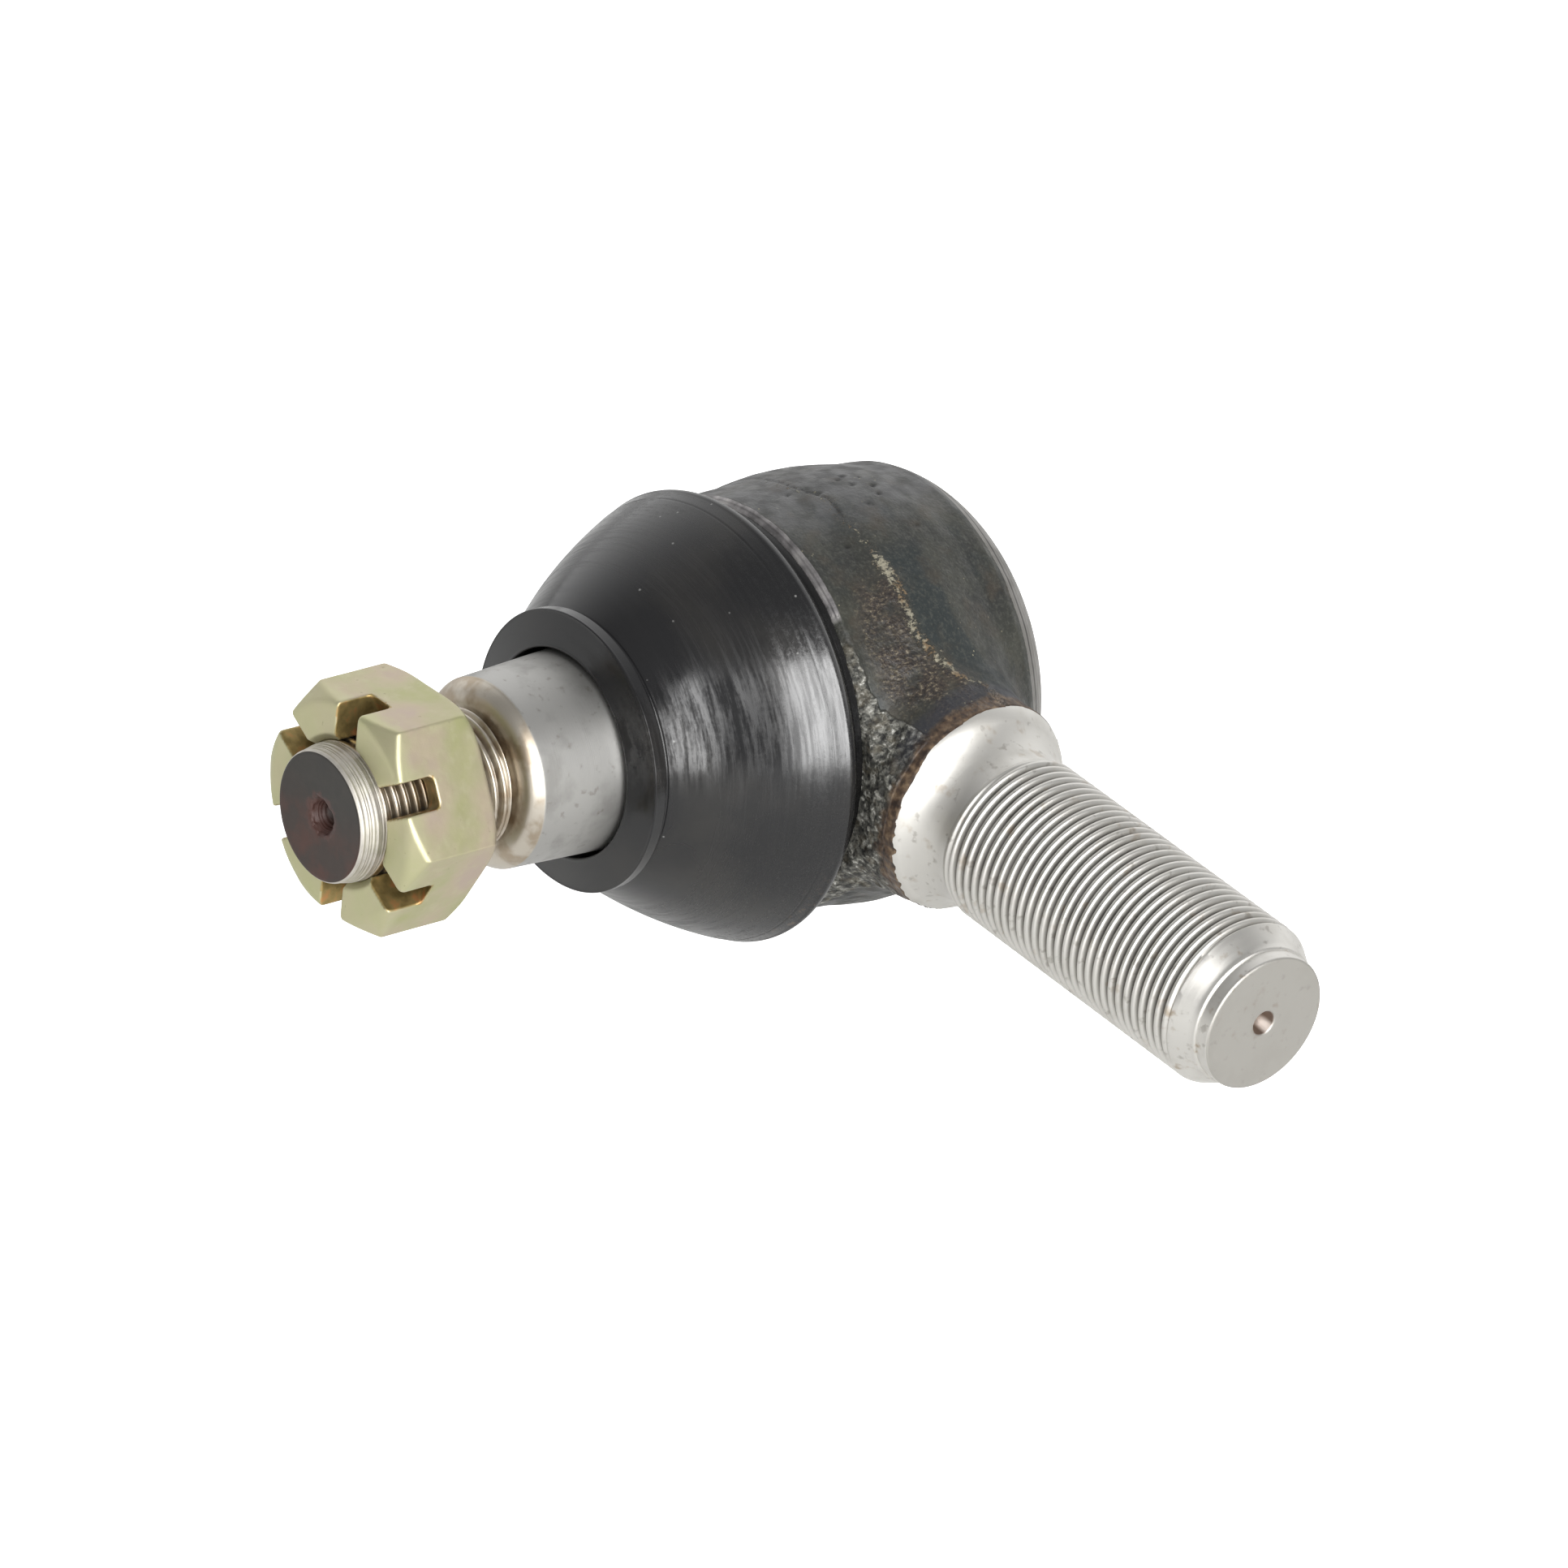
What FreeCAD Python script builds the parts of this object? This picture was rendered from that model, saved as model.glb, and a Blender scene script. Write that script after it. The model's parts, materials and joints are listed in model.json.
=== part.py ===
"""Ball joint for the end of a steering tie rod, built piece by piece, in millimetres.

The origin is the centre of the ball. The threaded shank points along +X, the tapered
stud points along -Y, and +Z is up. "Height" below always means the distance from the
ball's centre along the stud, so a point at height h lies at y = -h.
"""
import FreeCAD, Part
import math
import os

from FreeCAD import Vector

# Threads: metric fine, 2 mm pitch on both ends
PITCH = 2.0
THREAD_DEPTH = 0.613 * PITCH
CREST_FLAT = PITCH / 8
SHANK_R = 15.0            # M30 x 2 shank
STUD_R = 12.0             # M24 x 2 stud

# Ball and socket
BALL_R = 22.5
BALL_FLAT = -18.0         # height of the flat on the ball's underside
SEAT_GAP = 0.04           # running clearance round the ball
FIT_GAP = 0.05            # assembly clearance between pieces
BORE_R = 27.0             # socket bore that holds both ball seats
SEAT_STEP = 11.0          # height of the step that the upper seat rests on
SEAT_SPLIT = 0.3          # half the gap between the two seats
LOWER_SEAT_END = -15.5
SEAT_LIP_R = 20.4         # opening of the upper seat, wide enough for the neck to swing
SEAT_LIP_H = 9.5

# Forged housing
BARREL_R = 37.0           # at the parting line
BARREL_FRONT = 16.8
BARREL_BACK = -27.0
BOSS_R = 31.0             # turned boss that carries the boot
BOSS_TOP = 20.6
MOUTH_R = 26.3            # mouth of the socket at the boss's front face
MOUTH_ROOT_R = 21.2
FACING_R = 39.6           # the facing cut round the boss bites into the neck

# Shank
COLLAR_R = 19.35
COLLAR_END = 43.3
NECK_GROOVE_R = 14.45
THREAD_START = 56.0
THREAD_END = 114.3
DOG_R = 12.2
DOG_START = 118.8
SHANK_END = 121.4
CENTRE_DRILL_R = 2.2

# Closing cap under its rolled lip
CAP_R = 29.0
CAP_TOP = -19.5
CAP_THICKNESS = 3.0
CAP_DISH_R = 20.0
CAP_DISH_FLOOR = -25.2
LIP_R = 24.6              # opening left inside the rolled lip

# Conical preload spring
SPRING_WIRE_R = 1.4
SPRING_TOP_R = 21.0
SPRING_END_R = 16.0
SPRING_TURNS = 2.25

# Stud
NECK_R = 13.0
NECK_END = 32.0
TAPER_START = 40.0
TAPER_END = 69.0
TAPER_END_R = 16.5
TAPER_PER_MM = 0.05       # 1:10 on the diameter
SHOULDER_END = 72.0
STUD_THREAD_START = 72.6
STUD_THREAD_END = 99.0
LAND_R = 11.75
STUD_TIP_R = 11.2
STUD_END = 103.65
CENTRE_HOLE_R = 3.0
SPLIT_PIN_HOLE_R = 2.5
SPLIT_PIN_H = 96.0

# Slotted hexagon nut
NUT_FLATS = 38.0
NUT_BACK = 82.2
NUT_FRONT = 99.8
NUT_BACK_CHAMFER_R = 20.0
NUT_FRONT_CHAMFER_R = 18.8
NUT_CHAMFER_DROP = 2.2    # height lost at the corners of the front face
NUT_SIDES = 6
NUT_TURN = 3.7              # degrees from the X axis to a corner, as the nut was left
SLOT_WIDTH = 5.5
SLOT_CORNER_R = 1.2
SLOT_CUTTER_R = 42.0        # the disc that mills the slots, which leaves their floors curved
SLOT_CUTTER_LOW = 88.3      # lowest height the disc's rim reaches, on the stud's axis

# Rubber boot and its two steel rings
BOOT_HOLE_R = 18.1
FLANGE_R = 24.4
FLANGE_FRONT = 52.2
FLANGE_BACK = 49.9
FLANGE_LIP = 53.6         # the flange rises a little towards its hole
DOME_TOP_R = 23.6
DOME_TOP = 49.2
DOME_MID_R = 32.75
DOME_MID = 36.0
RIM_R = 38.9
RIM = 22.4
BOOT_BACK = 17.0
NECK_BLOCK_BACK = 45.5    # underside of the thick band round the stud
BASE_RING = (32.5, 34.5, 17.05, 19.2)     # inner radius, outer radius, lower, upper
NECK_RING = (19.6, 21.4, 45.6, 47.9)
RING_CLEARANCE = 0.1

FULL_TURN = 360


def on_stud(radius, height):
    """A point in the section through the stud, at a radius and a height."""
    return Vector(radius, -height, 0)


def on_shank(x, radius):
    """A point in the section through the shank, at a distance along it and a radius."""
    return Vector(x, radius, 0)


def section(place, start, *steps):
    """A flat face. A step of two numbers is a straight line, one of four is an arc."""
    edges = []
    here = place(*start)
    for step in steps + (start,):
        end = place(*step[-2:])
        if len(step) == 4:
            edges.append(Part.Arc(here, place(*step[:2]), end).toShape())
        else:
            edges.append(Part.makeLine(here, end))
        here = end
    return Part.Face(Part.Wire(edges))


def turned_on_stud(start, *steps):
    """A solid of revolution round the stud's axis."""
    face = section(on_stud, start, *steps)
    return face.revolve(Vector(0, 0, 0), Vector(0, 1, 0), FULL_TURN)


def turned_on_shank(start, *steps):
    """A solid of revolution round the shank's axis."""
    face = section(on_shank, start, *steps)
    return face.revolve(Vector(0, 0, 0), Vector(1, 0, 0), FULL_TURN)


def plain_ring(inner_r, outer_r, low, high):
    """A square-section ring round the stud's axis."""
    return turned_on_stud((inner_r, low), (outer_r, low), (outer_r, high), (inner_r, high))


def thread_groove(crest_r, start, end):
    """The helical groove of a screw thread, cut from start to end along +Z."""
    helix = Part.makeHelix(PITCH, end - start, crest_r)
    outside = 0.3
    half = (PITCH - CREST_FLAT) / 2
    flare = half * (1 + outside / THREAD_DEPTH)
    root = Vector(crest_r - THREAD_DEPTH, 0, 0)
    top = Vector(crest_r + outside, 0, flare)
    bottom = Vector(crest_r + outside, 0, -flare)
    groove = Part.makePolygon([root, top, bottom, root])
    cutter = helix.makePipeShell([groove], True, True)
    cutter.translate(Vector(0, 0, start))
    return cutter


def barrel():
    """The round forged body, with draft both ways from its parting line, and its boss."""
    return turned_on_stud(
        (0, BARREL_BACK),
        (29.2, BARREL_BACK),
        (32.4, -24.1, 35.1, -19.5),
        (35.6, -15.0),
        (BARREL_R, -2.5, 36.4, 7.0),
        (36.2, BARREL_FRONT - 1.2),
        (35.1, BARREL_FRONT),
        (BOSS_R, BARREL_FRONT),
        (BOSS_R, BOSS_TOP - 0.8),
        (BOSS_R - 0.8, BOSS_TOP),
        (0, BOSS_TOP),
    )


def socket_cavity():
    """Everything that is bored out of the barrel, from the mouth to the rolled lip."""
    cap_seat = CAP_TOP - CAP_THICKNESS - FIT_GAP
    below, above = BARREL_BACK - 1, BOSS_TOP + 1
    return turned_on_stud(
        (0, below),
        (LIP_R, below),
        (LIP_R, cap_seat),
        (CAP_R + FIT_GAP, cap_seat),
        (CAP_R + FIT_GAP, CAP_TOP),
        (BORE_R, CAP_TOP),
        (BORE_R, SEAT_STEP),
        (MOUTH_ROOT_R, SEAT_STEP),
        (MOUTH_R, BOSS_TOP),
        (MOUTH_R, above),
        (0, above),
    )


def oval(x, half_y, half_z):
    """An oval outline across the shank, taller than it is wide."""
    ellipse = Part.Ellipse(Vector(0, 0, 0), half_z, half_y)
    outline = Part.Wire(ellipse.toShape())
    outline.rotate(Vector(0, 0, 0), Vector(0, 1, 0), -90)
    outline.translate(Vector(x, 0, 0))
    return outline


def forged_neck():
    """The forging between barrel and collar, narrowing from the barrel's full depth."""
    ovals = [oval(20, 18.8, 30.0), oval(30, 18.6, 24.2), oval(36, 18.4, 20.9),
             oval(42, 18.2, 19.6), oval(48, 18.1, 19.3)]
    return Part.makeLoft(ovals, True, False)


def turned_shank():
    """What the lathe leaves: rough forging first, then collar, fillet, thread and dog point."""
    rough_start, rough_end, rough_r = 15.0, 41.5, 40.0
    return turned_on_shank(
        (rough_start, 0),
        (rough_start, rough_r),
        (rough_end, rough_r),
        (rough_end, COLLAR_R),
        (COLLAR_END, COLLAR_R),
        (45.6, 18.7, 47.2, 17.2),
        (50.0, 15.0, 54.0, NECK_GROOVE_R),
        (THREAD_START - 0.8, NECK_GROOVE_R),
        (THREAD_START, SHANK_R),
        (THREAD_END, SHANK_R),
        (DOG_START, DOG_R + 0.2),
        (DOG_START, DOG_R),
        (SHANK_END - 0.4, DOG_R),
        (SHANK_END, DOG_R - 0.4),
        (SHANK_END, 0),
    )


def shank_thread():
    """The groove of the M30 thread, laid along the shank."""
    cutter = thread_groove(SHANK_R, THREAD_START + PITCH / 2, THREAD_END + PITCH)
    cutter.rotate(Vector(0, 0, 0), Vector(0, 1, 0), 90)
    return cutter


def centre_drilling(radius, end, direction):
    """A small conical centre hole in the end of a shaft."""
    depth = 2 * radius
    tip = direction * (end - depth)
    return Part.makeCone(0.3, radius, depth + 0.02, tip, direction)


def facing_cut():
    """What the lathe takes off round the boss, so that the boot's rim has room."""
    depth = 10
    return Part.makeCylinder(FACING_R, depth, Vector(0, -BARREL_FRONT, 0), Vector(0, -1, 0))


def socket_housing():
    """One steel forging: barrel, neck and threaded shank."""
    turned = turned_shank()
    neck = forged_neck().common(turned).cut(facing_cut())
    beyond_neck = Part.makeBox(80, 50, 50, Vector(46, -25, -25))
    body = barrel().fuse([neck, turned.common(beyond_neck)]).removeSplitter()
    body = body.cut(socket_cavity())
    body = body.cut(centre_drilling(CENTRE_DRILL_R, SHANK_END, Vector(1, 0, 0)))
    return body.cut(shank_thread())


def stud_blank():
    """The turned stud: ball, neck, taper, shoulder and thread crest."""
    ball_joins_neck = math.sqrt(BALL_R ** 2 - NECK_R ** 2)
    flat_r = math.sqrt(BALL_R ** 2 - BALL_FLAT ** 2)
    taper_start_r = TAPER_END_R + (TAPER_END - TAPER_START) * TAPER_PER_MM
    return turned_on_stud(
        (0, BALL_FLAT),
        (flat_r, BALL_FLAT),
        (BALL_R, 0, NECK_R, ball_joins_neck),
        (NECK_R, NECK_END),
        (taper_start_r - 1.0, TAPER_START - 2.2, taper_start_r, TAPER_START),
        (TAPER_END_R, TAPER_END),
        (16.1, TAPER_END + 1.1, 14.6, SHOULDER_END - 0.5),
        (STUD_R - 0.9, SHOULDER_END),
        (STUD_R - 0.9, STUD_THREAD_START - 0.4),
        (STUD_R, STUD_THREAD_START),
        (STUD_R, STUD_THREAD_END),
        (LAND_R, STUD_THREAD_END + 0.3),
        (LAND_R, STUD_END - 1.2),
        (STUD_TIP_R, STUD_END),
        (0, STUD_END),
    )


def ball_stud():
    """Ball stud with its M24 thread, split-pin hole and centre hole."""
    cutter = thread_groove(STUD_R, STUD_THREAD_START + PITCH / 2, STUD_THREAD_END)
    cutter.rotate(Vector(0, 0, 0), Vector(1, 0, 0), 90)
    pin_hole = Part.makeCylinder(SPLIT_PIN_HOLE_R, 4 * STUD_R,
                                 Vector(-2 * STUD_R, -SPLIT_PIN_H, 0), Vector(1, 0, 0))
    centre_hole = centre_drilling(CENTRE_HOLE_R, STUD_END, Vector(0, -1, 0))
    return stud_blank().cut(pin_hole).cut(centre_hole).cut(cutter)


def hexagon(across_flats, low, high):
    """A hexagonal bar round the stud, with two corners on the X axis."""
    corner_r = across_flats / math.sqrt(3)
    corners = [Vector(corner_r * math.cos(math.radians(60 * i)), -high,
                      corner_r * math.sin(math.radians(60 * i)))
               for i in range(NUT_SIDES + 1)]
    return Part.Face(Part.makePolygon(corners)).extrude(Vector(0, high - low, 0))


def slot_cutter():
    """The round-edged disc that mills the two opposite slots lying along the X axis."""
    centre = Vector(0, -(SLOT_CUTTER_LOW + SLOT_CUTTER_R), -SLOT_WIDTH / 2)
    disc = Part.makeCylinder(SLOT_CUTTER_R, SLOT_WIDTH, centre, Vector(0, 0, 1))
    rims = [edge for edge in disc.Edges if isinstance(edge.Curve, Part.Circle)]
    return disc.makeFillet(SLOT_CORNER_R, rims)


def castle_nut():
    """Slotted hexagon nut with chamfered corners front and back."""
    origin, stud_axis = Vector(0, 0, 0), Vector(0, -1, 0)
    corner_r = NUT_FLATS / math.sqrt(3) + 0.1
    limit = turned_on_stud(
        (STUD_R + FIT_GAP, NUT_BACK),
        (NUT_BACK_CHAMFER_R, NUT_BACK),
        (corner_r, NUT_BACK + 1.4),
        (corner_r, NUT_FRONT - NUT_CHAMFER_DROP),
        (NUT_FRONT_CHAMFER_R, NUT_FRONT),
        (STUD_R + FIT_GAP + 0.8, NUT_FRONT),
        (STUD_R + FIT_GAP, NUT_FRONT - 0.8),
    )
    nut = hexagon(NUT_FLATS, NUT_BACK, NUT_FRONT).common(limit)
    for i in range(NUT_SIDES // 2):
        cutter = slot_cutter()
        cutter.rotate(origin, stud_axis, 30 + 60 * i)
        nut = nut.cut(cutter)
    nut.rotate(origin, stud_axis, NUT_TURN)
    return nut


def sphere_point(radius, height):
    """The section point of a sphere at a given height."""
    return (math.sqrt(radius ** 2 - height ** 2), height)


def upper_ball_seat():
    """Ring that bears on the stud's side of the ball and stops it pulling out."""
    sphere = BALL_R + SEAT_GAP
    return turned_on_stud(
        sphere_point(sphere, SEAT_SPLIT),
        sphere_point(sphere, SEAT_LIP_H / 2) + sphere_point(sphere, SEAT_LIP_H),
        (SEAT_LIP_R + 0.8, SEAT_STEP - FIT_GAP),
        (BORE_R - FIT_GAP, SEAT_STEP - FIT_GAP),
        (BORE_R - FIT_GAP, SEAT_SPLIT),
    )


def lower_ball_seat():
    """Ring that the spring presses against the ball from the cap's side."""
    sphere = BALL_R + SEAT_GAP
    return turned_on_stud(
        sphere_point(sphere, LOWER_SEAT_END),
        sphere_point(sphere, LOWER_SEAT_END / 2) + sphere_point(sphere, -SEAT_SPLIT),
        (BORE_R - FIT_GAP, -SEAT_SPLIT),
        (BORE_R - FIT_GAP, LOWER_SEAT_END),
    )


def preload_spring():
    """Conical coil spring between the cap's dish and the lower seat."""
    top = LOWER_SEAT_END - SPRING_WIRE_R - FIT_GAP
    bottom = CAP_DISH_FLOOR + SPRING_WIRE_R + FIT_GAP
    steps = 60
    line = []
    for i in range(steps + 1):
        share = i / steps
        radius = SPRING_END_R + (SPRING_TOP_R - SPRING_END_R) * share
        turn = 2 * math.pi * SPRING_TURNS * share
        height = bottom + (top - bottom) * share
        line.append(Vector(radius * math.cos(turn), -height, radius * math.sin(turn)))
    spiral = Part.BSplineCurve()
    spiral.interpolate(line)
    start, direction = spiral.value(0), spiral.tangent(0)[0]
    wire = Part.Wire(Part.makeCircle(SPRING_WIRE_R, start, direction))
    return Part.Wire(spiral.toShape()).makePipeShell([wire], True, False)


def end_cap():
    """Pressed steel cap: a flat rim under the rolled lip, and a dish for the spring."""
    t = CAP_THICKNESS
    outer_r = CAP_R - FIT_GAP
    return turned_on_stud(
        (0, CAP_DISH_FLOOR),
        (CAP_DISH_R - 1.5, CAP_DISH_FLOOR),
        (CAP_DISH_R + 3.0, CAP_TOP - 0.1),
        (outer_r, CAP_TOP - 0.1),
        (outer_r, CAP_TOP - t),
        (CAP_DISH_R + 4.0, CAP_TOP - t),
        (CAP_DISH_R + 0.5, CAP_DISH_FLOOR - t),
        (0, CAP_DISH_FLOOR - t),
    )


def grown(ring):
    """The space a ring needs, a little larger than the ring."""
    inner_r, outer_r, low, high = ring
    c = RING_CLEARANCE
    return plain_ring(inner_r - c, outer_r + c, low - 2, high + c)


def dust_boot():
    """Rubber boot: base bead, rim, dome and the flange that seals on the stud."""
    shell = turned_on_stud(
        (BOOT_HOLE_R, FLANGE_LIP),
        (FLANGE_R, FLANGE_FRONT),
        (FLANGE_R, FLANGE_BACK),
        (DOME_TOP_R, DOME_TOP),
        (DOME_MID_R, DOME_MID, RIM_R, RIM),
        (RIM_R + 0.05, RIM - 0.8, RIM_R - 0.7, RIM - 1.7),
        (35.4, 18.2),
        (35.4, BOOT_BACK),
        (BOSS_R + FIT_GAP, BOOT_BACK),
        (BOSS_R + FIT_GAP, BOSS_TOP + 0.3),
        (35.6, RIM + 0.6),
        (29.9, 35.0, 22.4, NECK_BLOCK_BACK),
        (BOOT_HOLE_R, NECK_BLOCK_BACK),
    )
    return shell.cut(grown(BASE_RING)).cut(grown(NECK_RING))


def boot_base_ring():
    """Steel ring that clamps the boot's bead round the boss."""
    return plain_ring(*BASE_RING)


def boot_neck_ring():
    """Steel ring that keeps the boot's flange tight round the stud."""
    return plain_ring(*NECK_RING)


PARTS = {
    "socket_housing": socket_housing,
    "ball_stud": ball_stud,
    "castle_nut": castle_nut,
    "upper_ball_seat": upper_ball_seat,
    "lower_ball_seat": lower_ball_seat,
    "preload_spring": preload_spring,
    "end_cap": end_cap,
    "dust_boot": dust_boot,
    "boot_base_ring": boot_base_ring,
    "boot_neck_ring": boot_neck_ring,
}

os.makedirs("parts", exist_ok=True)
for name, make in PARTS.items():
    make().exportStep(f"parts/{name}.step")
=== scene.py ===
import cmath
import json
import math

import bmesh
import bpy
import numpy as np
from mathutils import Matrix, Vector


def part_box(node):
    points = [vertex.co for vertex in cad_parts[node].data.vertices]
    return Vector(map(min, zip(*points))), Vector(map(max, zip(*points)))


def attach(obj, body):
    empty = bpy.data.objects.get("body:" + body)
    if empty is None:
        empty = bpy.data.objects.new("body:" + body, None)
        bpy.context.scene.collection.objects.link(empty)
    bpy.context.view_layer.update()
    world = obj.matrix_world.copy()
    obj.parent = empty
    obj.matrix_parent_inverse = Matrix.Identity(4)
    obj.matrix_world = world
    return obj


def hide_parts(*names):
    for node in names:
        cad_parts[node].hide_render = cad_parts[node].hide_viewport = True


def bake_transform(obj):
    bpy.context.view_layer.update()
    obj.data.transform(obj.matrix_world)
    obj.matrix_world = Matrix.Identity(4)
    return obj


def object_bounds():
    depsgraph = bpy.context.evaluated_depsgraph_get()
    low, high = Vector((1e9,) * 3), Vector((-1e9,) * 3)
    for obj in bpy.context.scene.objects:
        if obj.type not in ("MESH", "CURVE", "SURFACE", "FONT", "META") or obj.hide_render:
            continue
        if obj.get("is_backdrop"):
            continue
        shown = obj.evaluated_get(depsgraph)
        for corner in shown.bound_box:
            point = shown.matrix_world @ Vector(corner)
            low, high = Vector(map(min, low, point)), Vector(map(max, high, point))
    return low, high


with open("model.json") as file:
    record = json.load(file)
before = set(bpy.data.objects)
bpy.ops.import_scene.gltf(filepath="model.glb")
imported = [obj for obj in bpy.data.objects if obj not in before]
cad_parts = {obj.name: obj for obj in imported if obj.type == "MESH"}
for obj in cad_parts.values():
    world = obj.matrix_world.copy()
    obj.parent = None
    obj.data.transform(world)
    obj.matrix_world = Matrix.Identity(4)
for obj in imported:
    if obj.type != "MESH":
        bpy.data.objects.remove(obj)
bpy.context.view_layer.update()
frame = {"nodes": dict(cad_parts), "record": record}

import openvdb as vdb
from mathutils import Quaternion, Vector

MM = 0.001


def box_mm(node):
    """Lowest and highest corner of a CAD node, in millimetres."""
    low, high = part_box(node)
    return np.array(low) / MM, np.array(high) / MM


housing_low, housing_high = box_mm("socket_housing")
boot_low, boot_high = box_mm("dust_boot")
stud_low, stud_high = box_mm("ball_stud")
nut_low, nut_high = box_mm("castle_nut")
cap_high = box_mm("end_cap")[1]
mounts = {mount["name"]: mount for mount in frame["record"]["mounts"]}

# Driving dimensions from the frame
SHANK_END = housing_high[0]
BARREL_BACK = -housing_high[1]
BARREL_R = housing_high[2]
BOSS_TOP = -housing_low[1]
DOG_R = mounts["shank_pilot"]["dims"]["r_mm"]
RIM_R = boot_high[2]
BOOT_BACK = -boot_high[1]
FLANGE_LIP = -boot_low[1]
STUD_END = -stud_low[1]
BALL_R = stud_high[2]
BALL_FLAT = -stud_high[1]
NUT_BACK = -nut_high[1]
NUT_FRONT = -nut_low[1]
CAP_R = cap_high[2]
CAP_BOTTOM = -cap_high[1]

# Threads
PITCH = 2.0
THREAD_DEPTH = 1.15
SHANK_R = 15.0
SHANK_THREAD = 55.4, 114.6
STUD_R = 12.0
STUD_THREAD = 72.9, 98.4

# Slotted nut
NUT_FLATS = 38.0
NUT_TURN = math.radians(3.7)
SLOT_HALF = 2.75
SLOT_CORNER = 1.2
SLOT_CUTTER_R = 42.0
SLOT_CUTTER_LOW = 88.3
NUT_HOLE_R = 12.05
NUT_ROUNDING = 0.55
# Chamfers: radius at the face, then the cone's outward and axial share
FRONT_CHAMFER = 18.7, 0.574, 0.819
BACK_CHAMFER = 20.0, 0.585, 0.811

# Forging
BARREL_FRONT = 16.8
BOSS_R = 31.0
FACING_R = 39.6
COLLAR_R = 19.35
COLLAR_START = 41.5
NECK_GROOVE_R = 14.45
LIP_R = 24.6
CAP_SEAT_BACK, CAP_SEAT_FRONT = -22.5, -19.5
SOCKET_R = 27.0
THROAT, THROAT_R = 11.0, 21.2
MOUTH_R = 26.3
SHANK_SEGMENTS = 192


# ---------------- outlines and fields

def arc(start, middle, end, count):
    """Points on the circle through three points, leaving out the first."""
    a, b, c = (complex(*point) for point in (start, middle, end))
    ratio = (c - a) / (b - a)
    centre = a + (b - a) * (ratio - abs(ratio) ** 2) / (2j * ratio.imag)
    first, second, last = (cmath.phase(point - centre) for point in (a, b, c))
    sweep = (last - first) % (2 * math.pi)
    if (second - first) % (2 * math.pi) > sweep:
        sweep -= 2 * math.pi
    steps = (first + sweep * (i + 1) / count for i in range(count))
    points = [centre + cmath.rect(abs(a - centre), step) for step in steps]
    return [(point.real, point.imag) for point in points]


def outline(start, *steps, spacing=0.6):
    """A chain of points. A step of two numbers is a line, one of four is an arc."""
    points = [start]
    for step in steps:
        end = step[-2:]
        here = points[-1]
        count = max(1, math.ceil(math.dist(here, end) / spacing))
        if len(step) == 4:
            points += arc(here, step[:2], end, max(6, 2 * count))
        else:
            points += [tuple(np.array(here) + (np.array(end) - here) * (i + 1) / count)
                       for i in range(count)]
    return np.array(points)


def lathe_field(points, step=0.1, margin=3.0):
    """Signed distance to a closed outline of (radius, height), as a function of both."""
    low = points.min(0) - margin
    low[0] = max(low[0], -margin)
    size = np.ceil((points.max(0) + margin - low) / step).astype(int)
    r = low[0] + step * np.arange(size[0])[:, None]
    h = low[1] + step * np.arange(size[1])
    distance = np.full(size, 1e9)
    inside = np.zeros(size, bool)
    for (r0, h0), (r1, h1) in zip(points, np.roll(points, -1, 0)):
        dr, dh = r1 - r0, h1 - h0
        t = np.clip(((r - r0) * dr + (h - h0) * dh) / max(dr * dr + dh * dh, 1e-12), 0, 1)
        distance = np.minimum(distance, np.hypot(r - r0 - t * dr, h - h0 - t * dh))
        if dh:
            inside ^= ((h < h0) != (h < h1)) & (r < r0 + (h - h0) * dr / dh)
    distance[inside] *= -1

    def at(radius, height):
        """Distance between the grid's points, straight in both directions."""
        u = np.clip((radius - low[0]) / step, 0, size[0] - 1.001)
        v = np.clip((height - low[1]) / step, 0, size[1] - 1.001)
        i, j = u.astype(int), v.astype(int)
        u, v = u - i, v - j
        near = distance[i, j] * (1 - v) + distance[i, j + 1] * v
        far = distance[i + 1, j] * (1 - v) + distance[i + 1, j + 1] * v
        return near * (1 - u) + far * u

    return at


def smooth_min(a, b, k):
    """The smaller of two distances, rounded where they are within k of each other."""
    share = np.clip(k - abs(a - b), 0, None) / k
    return np.minimum(a, b) - share * share * k / 4


def smooth_max(a, b, k):
    return -smooth_min(-a, -b, k)


def ramp(x, start, end):
    """Smooth step from 0 at start to 1 at end."""
    t = np.clip((x - start) / (end - start), 0, 1)
    return t * t * (3 - 2 * t)


def band(x, start, end, soft):
    """1 between start and end, falling to 0 over the soft distance outside."""
    return ramp(x, start - soft, start) * (1 - ramp(x, end, end + soft))


LATTICE = 32


def noise(points, size, seed, octaves=1):
    """Smooth value noise from -1 to 1 at points of shape (n, 3), with features of a size."""
    total = np.zeros(len(points))
    for octave in range(octaves):
        lattice = np.random.default_rng(seed + octave).random((LATTICE,) * 3) * 2 - 1
        cell = points * 2 ** octave / size
        low = np.floor(cell).astype(int)
        share = ramp(cell - low, 0, 1)
        for corner in np.ndindex(2, 2, 2):
            weight = np.prod(np.where(corner, share, 1 - share), axis=1)
            total += weight * lattice[tuple((low + corner).T % LATTICE)] / 2 ** octave
    return total


# ---------------- meshes

def add_object(name, data):
    obj = bpy.data.objects.new(name, data)
    bpy.context.scene.collection.objects.link(obj)
    return obj


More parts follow.
